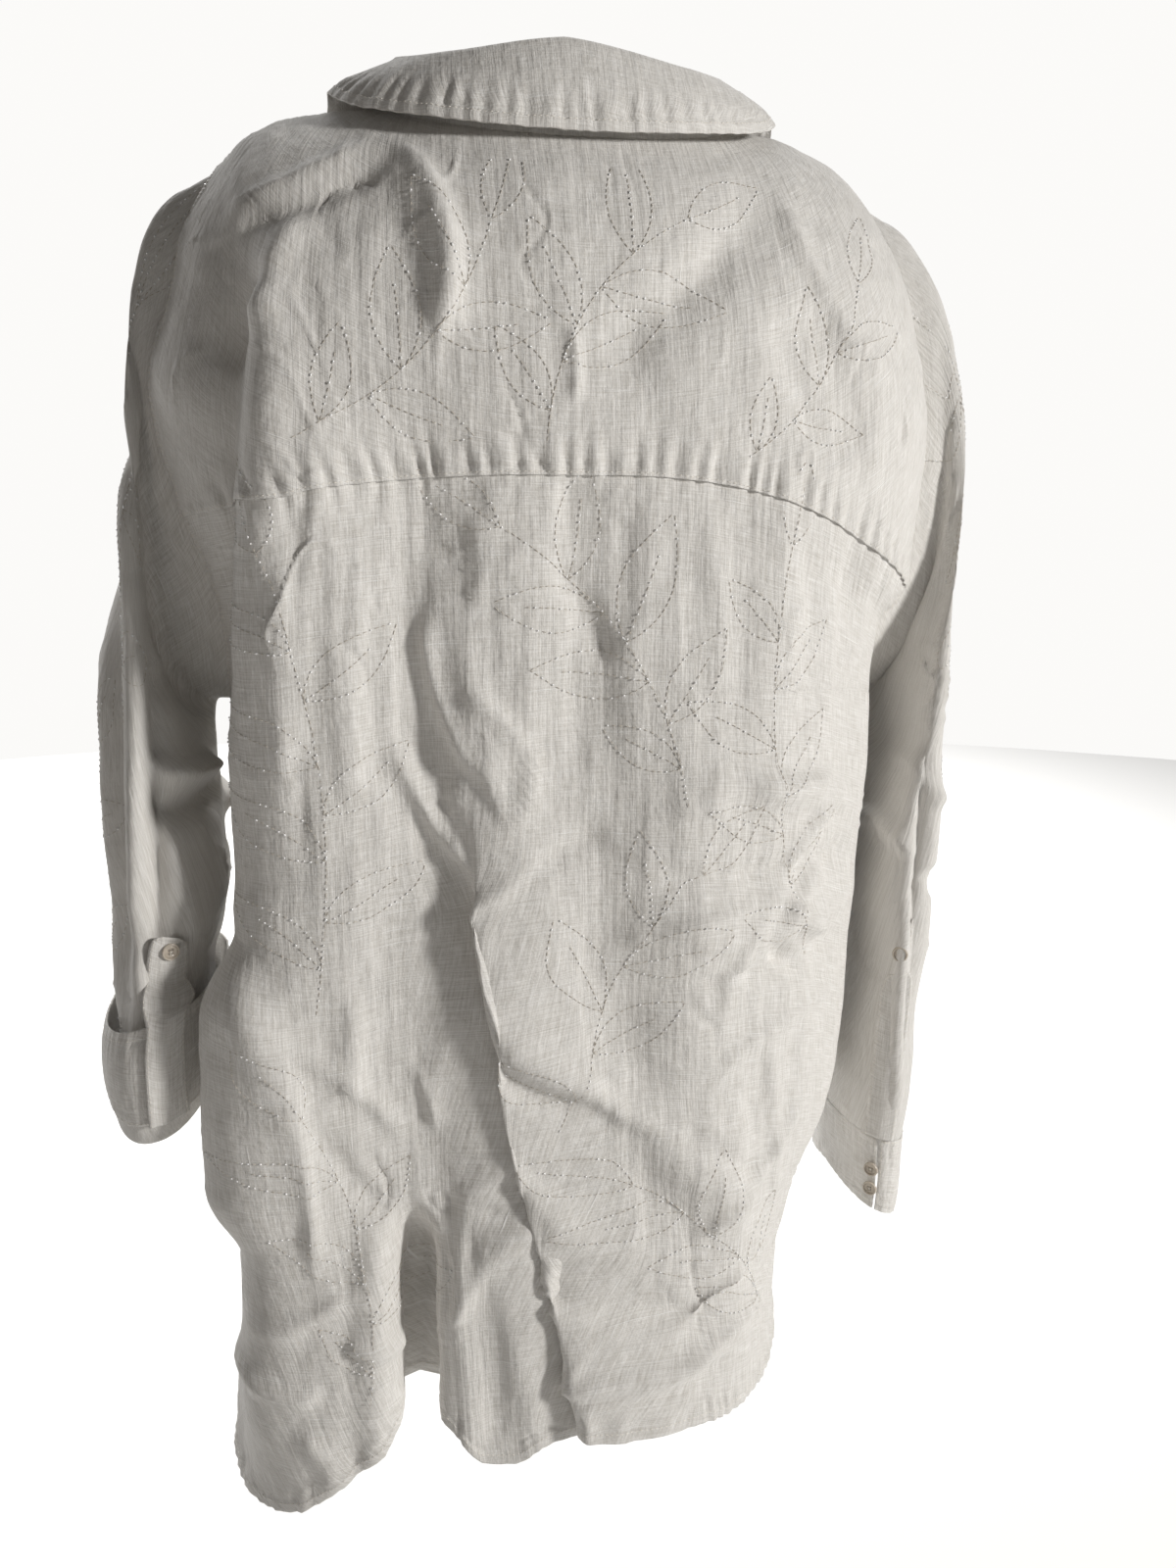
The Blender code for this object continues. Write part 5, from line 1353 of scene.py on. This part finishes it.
def buttons(shell, thread):
    """Every button of the blouse."""
    stitched = []
    for count, ring in enumerate(button_rings()):
        place = torso([-90.0], [ring])[0]
        normal = torso_normal(-90.0, np.array([ring]))[0]
        add_button(f"button_front_{count + 1}", place, normal, 2.0 * LAID, shell, stitched)
    turns = np.array([float(front_turn(NECK_OPEN - BAND_WIDTH / 4, 0.0))])
    base, out, rows = collar_frame(turns)
    place = base[0] + out[0] * rows[0, 2] * 0.5 + np.array([0.0, 0.0, rows[0, 1] * 0.5])
    add_button("button_collar", place, out[0], 2.0 * LIFT + 0.0006, shell, stitched)
    for node, sections, side, where, swing, gap, facing in SLEEVE_BUTTONS:
        place, normal = tube_place(sections, where, swing, side, gap)
        add_button(node, place, normal * facing, LIFT + 0.0006, shell, stitched)
    sewn = (np.array(values) for values in zip(*stitched))
    sew("button_thread", *sewn, 0.0034, 0.0007, thread)


# ---------------------------------------------------------------- materials
# How many of each go to the metre in the patterns of the linen and the shell.
YARNS = 1400.0           # 0.7 mm each: real yarn of 0.4 mm would be too fine to show
YARN_CHANGES = 60.0      # along its length a yarn changes every 17 mm
WARP_SLUBS = 1300.0      # 0.8 mm each
SLUB_CHANGES = 30.0      # a slub is up to 33 mm long
STREAKS = 230.0          # 4 mm each
STREAK_CHANGES = 14.0    # 70 mm long
DENTS = 42.0             # 24 mm each
CREASES = 55.0           # 18 mm apart
CLOUDS = 260.0           # of the shell, 4 mm each


def colour(code):
    """Linear colour from an sRGB hex code."""
    parts = [int(code[spot:spot + 2], 16) / 255.0 for spot in (1, 3, 5)]
    linear = [part / 12.92 if part <= 0.04045 else ((part + 0.055) / 1.055) ** 2.4 for part in parts]
    return (*linear, 1.0)


def add_node(tree, kind, settings=None, values=None, links=None):
    """A node with its settings, its values and what feeds it."""
    made = tree.nodes.new(kind)
    for name, value in (settings or {}).items():
        setattr(made, name, value)
    for name, value in (values or {}).items():
        made.inputs[name].default_value = value
    for name, source in (links or {}).items():
        tree.links.new(source, made.inputs[name])
    return made


def new_material(name, values):
    """A material with values on its shader's own sockets."""
    made = bpy.data.materials.new(name)
    made.use_nodes = True
    shader = made.node_tree.nodes["Principled BSDF"]
    for socket, value in values.items():
        shader.inputs[socket].default_value = value
    return made, made.node_tree, shader


def stretched_noise(tree, grain, across, down, place=(0.0, 0.0, 0.0), **values):
    """A noise drawn out along the cloth, with so many spots to the metre across and down it."""
    spread = add_node(tree, "ShaderNodeMapping", values={"Scale": (across, down, 1.0), "Location": place},
                      links={"Vector": grain})
    made = add_node(tree, "ShaderNodeTexNoise", values={"Scale": 1.0, **values},
                    links={"Vector": spread.outputs["Vector"]})
    return made.outputs["Fac"]


def ramp(tree, value, low, high):
    """0 to 1 as a value goes from low to high."""
    made = add_node(tree, "ShaderNodeMapRange", values={"From Min": low, "From Max": high},
                    links={"Value": value})
    return made.outputs["Result"]


def combined(tree, operation, first, second):
    """Two values put together."""
    made = add_node(tree, "ShaderNodeMath", {"operation": operation}, links={0: first, 1: second})
    return made.outputs[0]


def mixed(tree, share, first, second):
    """A mix of two tones; each is a colour or what another node gives."""
    made = add_node(tree, "ShaderNodeMix", {"data_type": "RGBA"}, links={0: share})
    for socket, tone in ((6, first), (7, second)):
        if isinstance(tone, tuple):
            made.inputs[socket].default_value = tone
        else:
            tree.links.new(tone, made.inputs[socket])
    return made.outputs[2]


def relief(tree, layers):
    """The normal of several bumps laid over one another, each with its strength and depth."""
    links = {}
    for height, strength, depth in layers:
        made = add_node(tree, "ShaderNodeBump", values={"Strength": strength, "Distance": depth},
                        links={"Height": height, **links})
        links = {"Normal": made.outputs["Normal"]}
    return links["Normal"]


def washed_linen():
    """Washed white linen in plain weave.

    Flax yarn is uneven: noises drawn out along warp and weft give the threads and
    the pale slubs, as tone and as relief. Soft and ridged noises and streaks down
    the cloth give the small creases of linen that was washed and not ironed.
    """
    made, tree, shader = new_material("washed linen", {
        "Roughness": 0.86, "Specular IOR Level": 0.25, "Sheen Weight": 0.20, "Sheen Roughness": 0.45})
    grain = add_node(tree, "ShaderNodeUVMap", {"uv_map": "grain"}).outputs["UV"]
    yarns = [stretched_noise(tree, grain, across, down, Detail=3.0, Roughness=0.65)
             for across, down in ((YARNS, YARN_CHANGES), (YARN_CHANGES, YARNS))]
    weave = combined(tree, "ADD", *yarns)
    tone = mixed(tree, ramp(tree, weave, 0.72, 1.28), colour("#f3f1ee"), colour("#cbc7c0"))
    slubs = []
    for across, down, least in ((SLUB_CHANGES, YARNS, 0.645), (WARP_SLUBS, SLUB_CHANGES, 0.69)):
        run = stretched_noise(tree, grain, across, down, (3.0, 5.0, 0.0), Detail=1.0)
        slubs.append(ramp(tree, run, least, least + 0.12))
    slub = combined(tree, "MAXIMUM", *slubs)
    tone = mixed(tree, slub, tone, colour("#faf9f7"))
    place = add_node(tree, "ShaderNodeTexCoord").outputs["Object"]
    soft = add_node(tree, "ShaderNodeTexNoise", values={"Scale": DENTS, "Detail": 5.0, "Roughness": 0.6},
                    links={"Vector": place})
    bent = add_node(tree, "ShaderNodeVectorMath", {"operation": "MULTIPLY_ADD"},
                    {1: (0.03, 0.03, 0.03)}, {0: soft.outputs["Color"], 2: place})
    creases = add_node(tree, "ShaderNodeTexNoise", {"noise_type": "RIDGED_MULTIFRACTAL"},
                       {"Scale": CREASES, "Detail": 2.0, "Roughness": 0.5}, {"Vector": bent.outputs[0]})
    normal = relief(tree, [
        (soft.outputs["Fac"], 1.0, 0.0023),
        (stretched_noise(tree, grain, STREAKS, STREAK_CHANGES, Detail=3.0), 0.6, 0.0016),
        (creases.outputs["Fac"], 0.25, 0.0006),
        (combined(tree, "ADD", weave, slub), 0.5, 0.00035),
    ])
    tree.links.new(tone, shader.inputs["Base Color"])
    tree.links.new(normal, shader.inputs["Normal"])
    return made


def sewing_thread():
    """Polished cotton thread, a shade warmer than the linen, so that rows of stitches just show."""
    return new_material("sewing thread", {"Base Color": colour("#efeae1"), "Roughness": 0.5})[0]


def embroidery_thread():
    """Soft grey-beige yarn, darker than the cloth it is sewn on, so that its lines show."""
    return new_material("embroidery thread", {"Base Color": colour("#c4bcb0"), "Roughness": 0.5})[0]


def glitter_thread():
    """Thread wound with pale lacquered foil, which catches the light in points."""
    return new_material("metallic thread", {
        "Base Color": colour("#ffffff"), "Roughness": 0.2, "Specular IOR Level": 1.0,
        "Coat Weight": 1.0, "Coat Roughness": 0.2})[0]


def shell():
    """River shell: pale, a little grey, with the soft gloss of polished mother-of-pearl."""
    made, tree, shader = new_material("shell", {
        "Roughness": 0.22, "Coat Weight": 0.4, "Coat Roughness": 0.1})
    place = add_node(tree, "ShaderNodeTexCoord").outputs["Object"]
    cloud = add_node(tree, "ShaderNodeTexNoise", values={"Scale": CLOUDS, "Detail": 2.0, "Distortion": 1.2},
                     links={"Vector": place})
    tone = mixed(tree, cloud.outputs["Fac"], colour("#d8cfc2"), colour("#b7aa9a"))
    tree.links.new(tone, shader.inputs["Base Color"])
    return made


# ---------------------------------------------------------------- stage
FLOOR_Z = -1.42          # a standing wearer's floor below the nape
FLOOR_RADIUS = 6.5
AIR = 0.07               # strength of the light from all round
BACKDROP = 1.04          # and of the plain backdrop that the camera sees
CAMERA_PLACE = (0.1157, 0.6818, -0.2090)
CAMERA_DOWN = 12.0       # degrees below level
CAMERA_ASIDE = 10.5      # degrees to the wearer's right
CAMERA_LENS = 27.0       # millimetres


def floor():
    """A plain pale floor at the height where a wearer would stand."""
    bm = bmesh.new()
    bmesh.ops.create_circle(bm, cap_ends=True, segments=64, radius=FLOOR_RADIUS)
    mesh = bpy.data.meshes.new("floor")
    bm.to_mesh(mesh)
    bm.free()
    pale = new_material("pale floor", {"Base Color": colour("#f2f1ef"), "Roughness": 0.9})[0]
    mesh.materials.append(pale)
    made = bpy.data.objects.new("floor", mesh)
    made.location = (0.0, 0.0, FLOOR_Z)
    bpy.context.collection.objects.link(made)


def area_light(name, place, target, size, power_watts, tint):
    """A soft light that points at a target."""
    lamp = bpy.data.lights.new(name, "AREA")
    lamp.shape = "DISK"
    lamp.size = size
    lamp.energy = power_watts
    lamp.color = colour(tint)[:3]
    made = bpy.data.objects.new(name, lamp)
    made.location = place
    made.rotation_euler = (Vector(place) - Vector(target)).to_track_quat("Z", "Y").to_euler()
    bpy.context.collection.objects.link(made)


def lights():
    """One soft light from behind the wearer's right, weak ones in front and on the far floor."""
    middle = (0.0, -0.05, -0.35)
    area_light("key", (-2.54, 1.88, 0.45), middle, 0.50, 83.0, "#fffdfa")
    area_light("fill", (1.90, 1.50, 0.30), middle, 1.2, 3.0, "#fff3e6")
    area_light("front", (1.70, -1.60, 0.55), middle, 0.9, 16.0, "#ffffff")
    area_light("far_floor", (0.0, -3.20, 3.40), (0.0, -7.0, FLOOR_Z), 3.0, 600.0, "#ffffff")
    world = bpy.data.worlds.new("pale air")
    world.use_nodes = True
    tree = world.node_tree
    pale = colour("#f7f6f4")
    air = tree.nodes["Background"]
    air.inputs["Color"].default_value = pale
    air.inputs["Strength"].default_value = AIR
    seen = add_node(tree, "ShaderNodeBackground", values={"Color": pale, "Strength": BACKDROP})
    path = add_node(tree, "ShaderNodeLightPath")
    both = add_node(tree, "ShaderNodeMixShader", links={
        0: path.outputs["Is Camera Ray"], 1: air.outputs["Background"], 2: seen.outputs["Background"]})
    tree.links.new(both.outputs["Shader"], tree.nodes["World Output"].inputs["Surface"])
    bpy.context.scene.world = world
    bpy.context.scene.view_settings.view_transform = "Standard"


def camera():
    """The photograph's view: behind the blouse, a little to its left and above its middle."""
    down, aside = math.radians(CAMERA_DOWN), math.radians(CAMERA_ASIDE)
    level_share = math.cos(down)
    ahead = Vector((-math.sin(aside) * level_share, -math.cos(aside) * level_share, -math.sin(down)))
    right = Vector((-math.cos(aside), math.sin(aside), 0.0))
    lens = bpy.data.cameras.new("camera")
    lens.sensor_width = 36.0
    lens.lens = CAMERA_LENS
    lens.clip_start = 0.01
    made = bpy.data.objects.new("camera", lens)
    made.location = CAMERA_PLACE
    made.rotation_euler = Matrix((right, right.cross(ahead), -ahead)).transposed().to_euler()
    bpy.context.collection.objects.link(made)
    bpy.context.scene.camera = made


def dress():
    """Make every piece."""
    linen = washed_linen()
    sewing = sewing_thread()
    back_yoke(linen)
    back_panel(linen)
    front_panel("front_left_cloth", "front_left", 1, 0.0, linen)
    front_panel("front_right_cloth", "front_right", -1, LAID, linen)
    front_band("button_band_cloth", "button_band", 1, 0.0, linen)
    front_band("buttonhole_band_cloth", "buttonhole_band", -1, LAID, linen)
    collar_stand(linen)
    collar_fall(linen)
    arms = [
        sleeve("sleeve_left_cloth", "sleeve_left", 1, SLEEVE_LEFT, TURN_LEFT, LEFT_ARM_FOLDS, linen),
        sleeve("sleeve_right_cloth", "sleeve_right", -1, SLEEVE_RIGHT, (), RIGHT_ARM_FOLDS, linen),
    ]
    cuff("cuff_left_cloth", "cuff_left", 1, CUFF_LEFT, WALL, linen)
    cuff("cuff_right_cloth", "cuff_right", -1, CUFF_RIGHT, 0.0, linen)
    strip("placket_left_cloth", "placket_left", 1, PLACKET_LEFT, PLACKET_WIDTH, linen)
    strip("placket_right_cloth", "placket_right", -1, PLACKET_RIGHT, PLACKET_WIDTH, linen, 0.0008)
    strip("tab_left_cloth", "tab_left", 1, TAB_LEFT, TAB_WIDTH, linen, 0.0012)
    strip("tab_right_cloth", "tab_right", -1, TAB_RIGHT, TAB_WIDTH, linen)
    buttons(shell(), sewing)
    topstitching(sewing)
    buttonholes(sewing)
    embroidery(arms, embroidery_thread(), glitter_thread())


camera()
dress()
floor()
lights()
